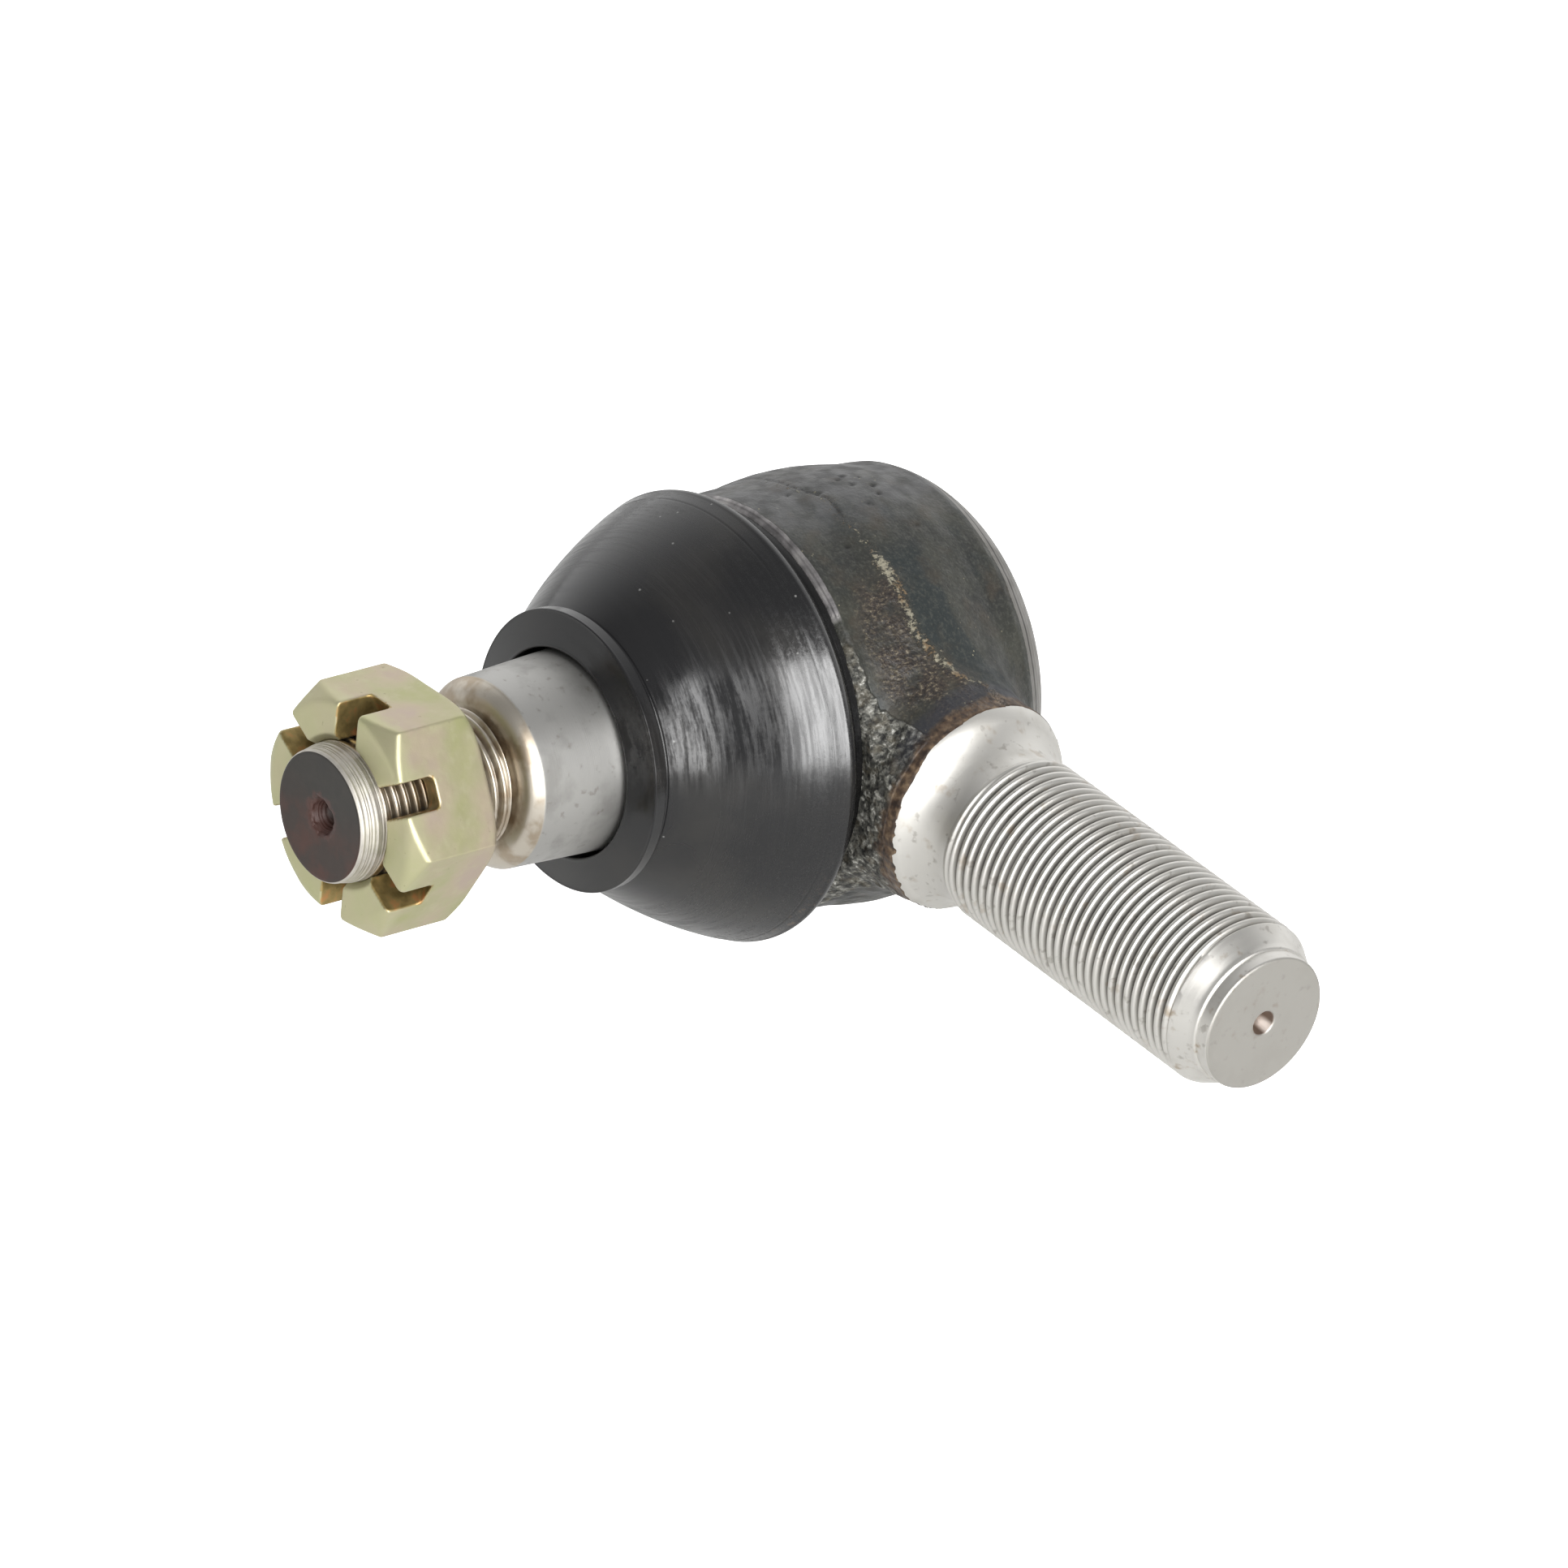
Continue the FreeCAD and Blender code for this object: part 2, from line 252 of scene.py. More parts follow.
def mesh_object(name, points, faces, sharp_deg=35.0):
    """An object from points in millimetres and quads. Equal points are merged."""
    keys, index = np.unique(np.round(points, 4), axis=0, return_inverse=True)
    faces = index.reshape(-1)[np.asarray(faces)]
    kept = []
    for face in faces.tolist():
        face = [v for i, v in enumerate(face) if v != face[i - 1]]
        if len(set(face)) == len(face) and len(face) > 2:
            kept.append(face)
    mesh = bpy.data.meshes.new(name)
    mesh.from_pydata((keys * MM).tolist(), [], kept)
    outward = bmesh.new()
    outward.from_mesh(mesh)
    bmesh.ops.recalc_face_normals(outward, faces=outward.faces)
    outward.to_mesh(mesh)
    outward.free()
    mesh.shade_smooth()
    mesh.set_sharp_from_angle(angle=math.radians(sharp_deg))
    return add_object(name, mesh)


def grid_faces(rows, columns):
    """Quads of a grid whose columns wrap round."""
    i, j = np.meshgrid(np.arange(rows - 1), np.arange(columns), indexing="ij")
    k = (j + 1) % columns
    quads = [i * columns + j, i * columns + k, (i + 1) * columns + k, (i + 1) * columns + j]
    return np.stack(quads, -1).reshape(-1, 4)


def round_stud(height, radius, angle):
    return np.stack([radius * np.cos(angle), -height, radius * np.sin(angle)], -1)


def round_shank(x, radius, angle):
    return np.stack([x, radius * np.cos(angle), radius * np.sin(angle)], -1)


def angles(segments):
    return np.linspace(0, 2 * math.pi, segments, endpoint=False)


def turned(place, rows, segments):
    """Points and quads of a surface of revolution from rows of (along, radius)."""
    along = np.repeat(rows[:, :1], segments, 1)
    points = place(along, rows[:, 1:], angles(segments))
    return points.reshape(-1, 3), grid_faces(len(rows), segments)


def joined(*pieces):
    """Several sets of points and quads as one."""
    points, faces, base = [], [], 0
    for p, f in pieces:
        points.append(p)
        faces.append(f + base)
        base += len(p)
    return np.concatenate(points), np.concatenate(faces)


def thread_shape(phase):
    """Depth below the crest, from 0 to 1, at a phase from 0 to 1 along one pitch."""
    crest, root = 0.26, 0.12
    ride = abs(phase - 0.5) * 2
    flank = np.clip((ride - crest) / (1 - crest - root), 0, 1)
    rounded = flank * flank * (3 - 2 * flank)
    return 0.55 * flank + 0.45 * rounded


def threaded(place, envelope, reach, fade, segments, per_pitch=12):
    """Points and quads of a right-hand thread under an envelope radius(along).

    Rows follow the helix, so each crest is a clean line. reach is the pair of its ends, and
    fade the pair of lengths over which the groove appears and vanishes there.
    """
    start, end = reach
    step = PITCH / per_pitch
    count = math.ceil((end - start + 2 * PITCH) / step)
    row = start - PITCH + step * np.arange(count + 1)
    turn = np.arange(segments) / segments
    along = np.clip(row[:, None] + PITCH * turn, start, end)
    phase = ((row - start) / PITCH % 1)[:, None]
    depth = THREAD_DEPTH * ramp(along, start, start + fade[0])
    depth = depth * (1 - ramp(along, end - fade[1], end))
    radius = envelope(along) - depth * thread_shape(phase)
    points = place(along, radius, 2 * math.pi * turn)
    faces = grid_faces(len(row), segments)
    wrap = faces.reshape(-1, segments, 4)[:, -1]
    wrap[:, 1] += per_pitch * segments
    wrap[:, 2] += per_pitch * segments
    size = len(row) * segments
    faces = faces[(faces < size).all(1)]
    return points.reshape(-1, 3), faces


def surface_of(field, low, high, voxel, polish=3):
    """Points and quads of the surface where a field of (x, y, z) is zero."""
    axes = [np.arange(a, b + voxel, voxel) for a, b in zip(low, high)]
    x, y, z = np.meshgrid(*axes, indexing="ij")
    values = np.clip(field(x, y, z), -3 * voxel, 3 * voxel).astype(np.float32)
    grid = vdb.FloatGrid(3 * voxel)
    grid.copyFromArray(values)
    points, quads = grid.convertToQuads(isovalue=0.0)
    points = points.astype(float) * voxel + np.array(low)
    for _ in range(polish):
        points -= field(*points.T)[:, None] * slope(field, points) * 0.8
    return points, quads.astype(int)


def slope(field, points):
    """Unit direction in which a field grows."""
    reach = 0.05
    parts = []
    for axis in np.eye(3) * reach:
        parts.append(field(*(points + axis).T) - field(*(points - axis).T))
    direction = np.stack(parts, -1)
    return direction / np.maximum(np.linalg.norm(direction, axis=1), 1e-9)[:, None]


def paint(obj, name, values):
    """Stores one number a vertex, for the object's material to read."""
    attribute = obj.data.attributes.new(name, "FLOAT", "POINT")
    attribute.data.foreach_set("value", values.astype(np.float32))


def vertices_mm(obj):
    co = np.zeros(len(obj.data.vertices) * 3)
    obj.data.vertices.foreach_get("co", co)
    return co.reshape(-1, 3) / MM


def move_vertices(obj, points):
    """Puts an object's vertices at points in millimetres."""
    obj.data.vertices.foreach_set("co", (points * MM).ravel())
    obj.data.update()


# ---------------- housing

barrel_field = lathe_field(outline(
    (0, BARREL_BACK), (29.3, BARREL_BACK), (32.4, -24.2, 35.1, -19.5),
    (35.5, -15.0), (BARREL_R, -2.5, 36.4, 7.0), (36.3, BARREL_FRONT - 1.1),
    (35.2, BARREL_FRONT), (BOSS_R, BARREL_FRONT), (BOSS_R, BOSS_TOP - 0.8),
    (BOSS_R - 0.8, BOSS_TOP), (0, BOSS_TOP),
))
cavity_field = lathe_field(outline(
    (0, BARREL_BACK - 4), (LIP_R, BARREL_BACK - 4), (LIP_R, CAP_SEAT_BACK),
    (CAP_R, CAP_SEAT_BACK), (CAP_R, CAP_SEAT_FRONT), (SOCKET_R, CAP_SEAT_FRONT),
    (SOCKET_R, THROAT), (THROAT_R, THROAT), (MOUTH_R, BOSS_TOP),
    (MOUTH_R, BOSS_TOP + 4), (0, BOSS_TOP + 4),
))

# Half height and half depth of the neck's oval at places along X
NECK_X = np.array([5.0, 15, 20, 26, 30, 34, 38, 42, 48])
NECK_HALF_Z = np.array([24.0, 28.0, 28.6, 26.4, 24.0, 21.8, 20.3, 19.6, 19.4])
NECK_HALF_Y = np.array([19.0, 18.9, 18.8, 18.7, 18.6, 18.5, 18.3, 18.2, 18.1])

SHANK_OUTLINE = outline(
    (COLLAR_START - 2, COLLAR_R), (43.2, COLLAR_R), (45.6, 18.7, 47.2, 17.2),
    (50.0, 15.2, 53.6, NECK_GROOVE_R), (55.2, NECK_GROOVE_R), (56.4, SHANK_R),
    (114.2, SHANK_R), (118.6, DOG_R + 0.35),
    spacing=0.25,
)


def shank_envelope(x):
    """Radius of the turned shank over collar, fillet, groove, crest and chamfer."""
    return np.interp(x, SHANK_OUTLINE[:, 0], SHANK_OUTLINE[:, 1])


def neck_field(x, y, z):
    """Roughly the distance to the oval neck between barrel and collar."""
    half_y = np.interp(x, NECK_X, NECK_HALF_Y)
    half_z = np.interp(x, NECK_X, NECK_HALF_Z)
    ride = np.sqrt((y / half_y) ** 2 + (z / half_z) ** 2)
    return (ride - 1) * np.minimum(half_y, half_z) * 0.95


def forging_field(x, y, z):
    """Barrel and neck with the machined boss and bore, before any roughness."""
    height, radius = -y, np.sqrt(x * x + z * z)
    barrel = barrel_field(radius, height)
    neck = np.maximum(neck_field(x, y, z), 5 - x)
    body = smooth_min(barrel, neck, 5.0)
    faced = np.maximum(radius - FACING_R, BARREL_FRONT - height)
    boss = np.maximum(radius - BOSS_R, height - BOSS_TOP)
    body = np.maximum(body, -np.maximum(faced, BOSS_R - radius))
    body = np.maximum(body, np.minimum(boss, height - BARREL_FRONT - 2.5))
    body = np.maximum(body, x - 49.0)
    return np.maximum(body, -cavity_field(radius, height))


def lathe_line(turn):
    """Where along X the lathe first meets the forging, at each angle from +Y to +Z."""
    up, back = np.sin(turn), np.cos(turn)
    line = 46.0 - 1.0 * ramp(up, 0.5, 1.0) - 0.7 * ramp(-up, 0.6, 1.0) - 1.2 * ramp(back, 0, 0.8)
    ring = np.stack([19 * back, 19 * up, 0 * turn], -1)
    scallop = abs(noise(ring, 1.7, 66, 2)) * (0.62 - 0.5 * ramp(up, -0.2, 0.5))
    return line + scallop + 0.22 * noise(ring, 6.0, 62, 1)


def past_lathe_line(p):
    """How far each point lies beyond the line where turning starts, along X."""
    turn = angles(SHANK_SEGMENTS)
    spot = np.arctan2(p[:, 2], p[:, 1]) % (2 * math.pi)
    return p[:, 0] - np.interp(spot, turn, lathe_line(turn), period=2 * math.pi)


# Height of the parting flash, of the torn wedge's edge and of the brown patch's top,
# at angles round the barrel from the shank towards +Z
FLASH_DEG = [20, 27, 30, 36, 42, 50, 60, 80, 90, 100, 130]
FLASH_HEIGHT = [-6.0, -3.0, 0.3, 2.2, 3.8, 3.4, 2.8, 3.4, 2.5, 4.5, 4.0]
TORN_DEG = [-75, -60, -40, 5, 10, 15, 20, 25, 28, 45, 50]
TORN_HEIGHT = [17.5, 14.5, 12.0, 9.0, 8.3, 9.0, 11.0, 13.0, 14.5, 15.8, 17.5]
BROWN_DEG = [26, 30, 38, 45, 54, 66]
BROWN_HEIGHT = [12.0, 14.5, 15.5, 14.5, 13.0, 7.0]


def bare_metal(p, around, wander, ragged):
    """Where the forging is machined or rolled bright: front edge, boss face, lip and bore."""
    height, radius = -p[:, 1], np.hypot(p[:, 0], p[:, 2])
    edge = BARREL_FRONT - 1.3 + 0.15 * ragged
    front = ramp(height, edge - 0.3, edge + 0.3) * ramp(abs(around + 3), 50, 60)
    faced = ramp(height, BARREL_FRONT + 0.2, BARREL_FRONT + 0.4) * (radius < FACING_R)
    back = 1 - ramp(height + 0.2 * wander, -21.1, -20.6)
    inside = 1 - ramp(radius, 29.5, 30.5)
    return np.clip(front + faced + back + inside * (p[:, 0] < 31), 0, 1)


def forging_masks(p):
    """What each spot of the forging is: bare metal, torn flash, parting line and so on."""
    height = -p[:, 1]
    around = np.degrees(np.arctan2(p[:, 2], p[:, 0]))
    wander = noise(p, 6.0, 40, 2)
    ragged = noise(p, 1.8, 44, 2)
    bare = bare_metal(p, around, wander, ragged)
    rough = 1 - bare
    off = height - np.interp(around, FLASH_DEG, FLASH_HEIGHT) - 0.5 * wander
    strength = band(around, 26, 62, 8) + 0.45 * band(around, 66, 105, 15)
    top = np.interp(around, BROWN_DEG, BROWN_HEIGHT) + 1.2 * wander
    brown = ramp(off, -0.4, 1.2) * (1 - ramp(height, top - 4.0, top + 1.0))
    limit = np.interp(around, TORN_DEG, TORN_HEIGHT) + 0.7 * ragged
    torn = ramp(height, limit - 0.5, limit + 0.6) * (1 - ramp(p[:, 0], 42.8, 44.6))
    return {
        "bare": bare,
        "trail": np.exp(-(off / 1.25) ** 2) * strength * rough,
        "crease": np.exp(-((off + 0.2) / 0.45) ** 2) * band(around, 84, 125, 6) * rough,
        "brown": brown * band(around, 30, 54, 14) * rough,
        "torn": torn * band(around, -70, 44, 5) * rough,
        "cool": band(off, -8.0, -2.0, 1.6) * band(around, 18, 62, 10) * rough,
        "dusty": band(around, 88, 150, 16) * rough,
        "edge": np.clip(past_lathe_line(p), -30, 30),
        "pit": pitted(p, 36, 7) * rough,
    }


def pitted(p, count, seed):
    """Depth from 0 to 1 of small pits scattered over the barrel, mostly near its top."""
    draw = np.random.default_rng(seed)
    pit = np.zeros(len(p))
    for _ in range(count):
        angle = math.radians(draw.normal(96, 14) if draw.random() < 0.6 else draw.uniform(-40, 200))
        level, size = draw.uniform(-16, 8), draw.uniform(0.22, 0.6)
        centre = np.array([36.6 * math.cos(angle), -level, 36.6 * math.sin(angle)])
        away = (p - centre) * np.array([1.0, 0.7, 1.0])
        near = np.linalg.norm(away, axis=1) / size
        pit = np.maximum(pit, np.exp(-near ** 3) * min(1.0, size * 1.8))
    return pit


def forged_skin(p, masks):
    """How far the forging's skin stands out, from hammer scale, pits, lines and torn flash."""
    push = (1 - masks["bare"]) * (0.14 * noise(p, 12.0, 1, 2) + 0.04 * noise(p, 2.2, 5, 2))
    lump = noise(p * np.array([1.0, 0.45, 1.0]), 1.7, 9, 3)
    push += masks["torn"] * (0.34 * lump + 0.12 * noise(p, 0.9, 14, 1))
    grain = 0.5 + 0.5 * noise(p, 1.3, 20, 2)
    push += masks["trail"] * (0.02 + 0.26 * grain)
    push += masks["brown"] * 0.10 * noise(p, 1.1, 24, 2)
    push -= masks["crease"] * 0.18 + masks["pit"] * 0.45
    radius, off_edge = np.hypot(p[:, 0], p[:, 2]), -p[:, 1] - BARREL_FRONT + 1.0
    burr = np.exp(-(off_edge / 0.5) ** 2) * ramp(noise(p, 1.4, 30, 2), 0.2, 0.9)
    return push + 0.34 * burr * (radius > 34) * band(p[:, 0], 10, 17, 4) * (p[:, 2] > 0)


def meet_collar(p, moved, past):
    """Brings the skin up to the turned collar at the lathe line, and under it beyond."""
    across = np.maximum(np.hypot(moved[:, 1], moved[:, 2]), 1)
    rim = shank_envelope(p[:, 0] - past) + 0.12
    share = ramp(past, -5.0, -0.2) * (past <= 0) * (abs(across - rim) < 3)
    wanted = across + (rim - across) * share
    wanted = np.where(past > 0, np.minimum(across, shank_envelope(p[:, 0]) - 0.3), wanted)
    moved[:, 1:] *= (wanted / across)[:, None]


def socket_forging():
    skin = surface_of(forging_field, (-39.0, -22.0, -39.0), (50.0, 29.0, 39.0), 0.44)
    obj = mesh_object("socket_forging", *skin, sharp_deg=50)
    p = vertices_mm(obj)
    masks = forging_masks(p)
    moved = p + slope(forging_field, p) * forged_skin(p, masks)[:, None]
    meet_collar(p, moved, masks["edge"])
    move_vertices(obj, moved)
    for name, values in masks.items():
        paint(obj, name, values)
    return obj


def collar_rows(first, turn):
    """Rings from under the forging's skin, over the collar's ragged edge, to the groove."""
    fillet_end = 49.0
    rows = [(first - back, np.maximum(shank_envelope(first) - drop, 0))
            for back, drop in ((3.0, 19.0), (1.0, 2.5), (0.25, 0.5))]
    for x in np.linspace(first, fillet_end, 31):
        rows.append((x, shank_envelope(x)))
    for x in np.linspace(fillet_end, SHANK_THREAD[0], 26)[1:]:
        rows.append((np.full(len(turn), x), np.full(len(turn), shank_envelope(x))))
    x, radius = np.array(rows).transpose(1, 0, 2)
    radius[0] = 0
    x[0] = x[0].mean()
    return round_shank(x, radius, turn).reshape(-1, 3), grid_faces(len(x), len(turn))


def dog_point():
    """Chamfer, plain cylinder, end face and centre hole."""
    thread_end, face = SHANK_THREAD[1], SHANK_END
    rows = outline(
        (thread_end, float(shank_envelope(thread_end))), (118.3, DOG_R + 0.55),
        (118.75, DOG_R + 0.32, 118.85, DOG_R + 0.05), (119.1, DOG_R),
        (face - 0.55, DOG_R), (face - 0.12, DOG_R - 0.14, face, DOG_R - 0.6),
        (face, 2.5), (face - 0.10, 2.25, face - 0.35, 2.1), (face - 2.6, 1.1),
        (face - 4.2, 0.9), (face - 4.6, 0.0),
        spacing=0.9,
    )
    return turned(round_shank, rows, SHANK_SEGMENTS)


def machined_shank():
    """Collar, fillet, thread and dog point as the lathe left them."""
    turn = angles(SHANK_SEGMENTS)
    head = collar_rows(lathe_line(turn), turn)
    body = threaded(round_shank, shank_envelope, SHANK_THREAD, (1.6, 1.0), SHANK_SEGMENTS)
    return mesh_object("machined_shank", *joined(head, body, dog_point()), sharp_deg=40)


def closing_cap():
    """Pressed cap behind the rolled lip, dished for the spring."""
    rim, thick = CAP_SEAT_FRONT - 0.1, 3.0
    rows = outline(
        (0, CAP_BOTTOM), (18.6, CAP_BOTTOM),
        (20.3, CAP_BOTTOM + 0.25, 21.0, CAP_BOTTOM + 1.2),
        (22.9, rim - thick - 0.5), (23.4, rim - thick - 0.1, 24.2, rim - thick),
        (CAP_R, rim - thick), (CAP_R, rim), (23.2, rim), (18.6, CAP_BOTTOM + thick),
        (0, CAP_BOTTOM + thick),
    )
    return mesh_object("closing_cap", *turned(round_stud, rows[:, ::-1], 160))


# ---------------- stud and nut

def stud_head_rows():
    """Height and radius of ball, neck, taper and shoulder, up to the thread."""
    neck_r = 13.0
    flat_r = math.sqrt(BALL_R ** 2 - BALL_FLAT ** 2)
    return outline(
        (BALL_FLAT, 0), (BALL_FLAT, flat_r),
        (0, BALL_R, math.sqrt(BALL_R ** 2 - neck_r ** 2), neck_r), (32.0, neck_r),
        (37.8, 16.9, 40.0, 17.95), (69.0, 16.5), (69.35, 16.42, 69.6, 16.25),
        (70.6, 15.6, 71.5, 14.5), (71.9, 13.4, 72.05, 12.2), (72.3, STUD_R - 0.9),
        (72.55, STUD_R - 0.9), (STUD_THREAD[0], STUD_R),
        spacing=0.8,
    )


def stud_land_rows():
    """Height and radius of the land beyond the thread, its end face and centre hole."""
    return outline(
        (STUD_THREAD[1], STUD_R), (98.75, STUD_R - 0.02, 98.85, STUD_R - 0.25),
        (99.05, STUD_R - 0.3), (99.3, STUD_R - 0.08), (100.4, STUD_R - 0.12),
        (100.5, STUD_R - 0.20, 100.65, STUD_R - 0.16), (STUD_END - 0.9, 11.4),
        (STUD_END - 0.15, 11.2, STUD_END, 11.0), (STUD_END - 0.25, 3.6),
        (STUD_END - 0.5, 3.1, STUD_END - 1.2, 2.7), (STUD_END - 3.4, 1.5),
        (STUD_END - 4.0, 0),
        spacing=0.5,
    )


def tapered_stud(segments=160):
    """Ball, taper and thread, with a battered rim round the centre hole."""
    head = turned(round_stud, stud_head_rows(), segments)
    body = threaded(round_stud, lambda height: STUD_R, STUD_THREAD, (0.8, 0.8), segments)
    tail = turned(round_stud, stud_land_rows(), segments)
    obj = mesh_object("tapered_stud", *joined(head, body, tail), sharp_deg=40)
    p = vertices_mm(obj)
    radius = np.hypot(p[:, 0], p[:, 2])
    centre = ramp(-p[:, 1], STUD_END - 1.6, STUD_END - 0.6) * (1 - ramp(radius, 3.4, 4.6))
    aside, above = noise(p, 1.3, 81, 2), noise(p, 1.3, 85, 2)
    p[:, 0] += 0.45 * centre * aside
    p[:, 2] += 0.45 * centre * above
    move_vertices(obj, p)
    return obj


def slot_floor(across):
    """Height of a slot's floor, left curved by the round cutter."""
    reach = np.minimum(np.abs(across), SLOT_CUTTER_R - 1)
    return SLOT_CUTTER_LOW + SLOT_CUTTER_R - np.sqrt(SLOT_CUTTER_R ** 2 - reach ** 2)


def from_slot(x, z):
    """Distance out along the middle of the nearest slot, and sideways from it."""
    sixth = math.pi / 3
    angle = (np.arctan2(z, x) - NUT_TURN) % sixth - sixth / 2
    radius = np.hypot(x, z)
    return radius * np.cos(angle), radius * np.sin(angle)


def nut_field(x, y, z):
    """Slotted hexagon nut with turned chamfers."""
    height, radius = -y, np.sqrt(x * x + z * z)
    across, along = from_slot(x, z)
    body = across - NUT_FLATS / 2
    for face, (edge_r, outward, axial) in ((height - NUT_FRONT, FRONT_CHAMFER),
                                           (NUT_BACK - height, BACK_CHAMFER)):
        body = smooth_max(body, face, NUT_ROUNDING)
        body = smooth_max(body, (radius - edge_r) * outward + face * axial, NUT_ROUNDING)
    countersink = NUT_HOLE_R + np.clip(height - NUT_FRONT + 1.2, 0, None)
    body = smooth_max(body, countersink - radius, 0.3)
    side = abs(along) - (SLOT_HALF - SLOT_CORNER)
    floor = slot_floor(across) + SLOT_CORNER - height
    slot = np.hypot(np.clip(side, 0, None), np.clip(floor, 0, None))
    slot = slot + np.minimum(np.maximum(side, floor), 0) - SLOT_CORNER
    return smooth_max(body, -slot, 0.4)


def slotted_nut():
    corner = NUT_FLATS / math.sqrt(3) + 1
    skin = surface_of(nut_field, (-corner, -NUT_FRONT - 1, -corner),
                      (corner, -NUT_BACK + 1, corner), 0.3)
    obj = mesh_object("slotted_nut", *skin, sharp_deg=60)
    p = vertices_mm(obj)
    push = 0.02 * noise(p, 5.0, 90, 2)
    move_vertices(obj, p + slope(nut_field, p) * push[:, None])
    across, along = from_slot(p[:, 0], p[:, 2])
    narrow = abs(along) < SLOT_HALF + 0.12
    deep = -p[:, 1] > slot_floor(across) - 0.15
    paint(obj, "slot", narrow & deep)
    return obj


# ---------------- boot

BEND_START, SEAM, BEND_END = 18.0, 32.5, 45.5
DOME_TOP, DOME_TOP_R = 49.2, 23.6
DOME_MID, DOME_MID_R = 36.0, 32.75
RIM = 22.4
FLANGE_R, FLANGE_BACK, FLANGE_FRONT = 24.4, 49.9, 52.2
BOOT_HOLE_R = 18.1
BORE_R = BOSS_R + 0.05
BOOT_SAG = 0.6


def boot_outer():
    """Height and radius from the bead, over rim and dome, to the flange's hole."""
    return outline(
        (BOOT_BACK, 35.4), (18.2, 35.4), (20.4, 37.9),
        (20.9, RIM_R - 0.35, 21.7, RIM_R),
        (22.2, RIM_R + 0.04, RIM + 0.3, RIM_R - 0.15), (24.9, 38.12), (25.0, 38.02),
        (25.2, 38.00), (DOME_MID, DOME_MID_R, DOME_TOP - 0.3, DOME_TOP_R + 0.1),
        (DOME_TOP + 0.15, DOME_TOP_R - 0.15, DOME_TOP + 0.35, DOME_TOP_R + 0.1),
        (FLANGE_BACK, FLANGE_R - 0.3),
        (FLANGE_BACK + 0.15, FLANGE_R - 0.05, FLANGE_BACK + 0.4, FLANGE_R),
        (FLANGE_FRONT - 0.3, FLANGE_R),
        (FLANGE_FRONT - 0.06, FLANGE_R - 0.06, FLANGE_FRONT, FLANGE_R - 0.3),
        (FLANGE_LIP - 0.05, BOOT_HOLE_R + 0.5),
        (FLANGE_LIP - 0.05, BOOT_HOLE_R + 0.1, FLANGE_LIP - 0.45, BOOT_HOLE_R),
        spacing=0.35,
    )


def boot_inner():
    """Height and radius back from the hole to the bead, with open grooves for the rings."""
    return outline(
        (FLANGE_LIP - 0.45, BOOT_HOLE_R), (45.5, BOOT_HOLE_R), (45.5, 19.45),
        (48.05, 19.45), (48.05, 21.55), (45.5, 21.55), (45.5, 22.4),
        (35.0, 30.6, 23.0, 35.6), (BOSS_TOP + 0.3, BORE_R), (BOOT_BACK, BORE_R),
        (BOOT_BACK, 32.35), (19.35, 32.35), (19.35, 34.65), (BOOT_BACK, 34.65),
        (BOOT_BACK, 35.4),
        spacing=0.7,
    )


def cut_at(rows, height):
    """Where a chain of rows crosses a height: the row before it, and the crossing itself."""
    over = rows[:, 0] > height
    i = np.flatnonzero(over[1:] != over[:-1])[0]
    share = (height - rows[i, 0]) / (rows[i + 1, 0] - rows[i, 0])
    return i, rows[i] + share * (rows[i + 1] - rows[i])


def boot_piece(name, upper, segments=224):
    outer, inner = boot_outer(), boot_inner()
    i, outer_cut = cut_at(outer, SEAM)
    j, inner_cut = cut_at(inner, SEAM)
    cap = np.linspace(outer_cut, inner_cut, 5)
    if upper:
        rows = np.concatenate([cap[:1], outer[i + 1:], inner[1:j + 1], cap[::-1]])
    else:
        rows = np.concatenate([outer[:i + 1], cap, inner[j + 1:]])
    points, faces = turned(round_stud, rows, segments)
    height = -points[:, 1]
    points[:, 2] -= BOOT_SAG * (1 - ramp(height, 20, 46)) * ramp(height, 17.5, 21)
    return mesh_object(name, points, faces, sharp_deg=45)


# ---------------- materials

WHITE = (255, 255, 255)


def srgb(colour):
    """Linear colour with full alpha, from the usual 0 to 255 values."""
    parts = [part / 255 for part in colour]
    linear = [c / 12.92 if c < 0.04045 else ((c + 0.055) / 1.055) ** 2.4 for c in parts]
    return (*linear, 1.0)


class Nodes:
    """A node tree being built. Colours are given as 0 to 255 values."""

    def __init__(self, tree):
        self.tree = tree

    def link(self, value, socket):
        if isinstance(value, bpy.types.NodeSocket):
            self.tree.links.new(value, socket)
        elif socket.type == "RGBA":
            socket.default_value = srgb(value)
        else:
            socket.default_value = value

    def node(self, kind, inputs=None, **settings):
        made = self.tree.nodes.new(kind)
        for key, value in settings.items():
            setattr(made, key, value)
        for key, value in (inputs or {}).items():
            self.link(value, made.inputs[key])
        return made

    def ramp(self, value, start, end, low=0.0, high=1.0):
        inputs = dict(enumerate((value, start, end, low, high)))
        return self.node("ShaderNodeMapRange", inputs,
                         interpolation_type="SMOOTHSTEP").outputs[0]


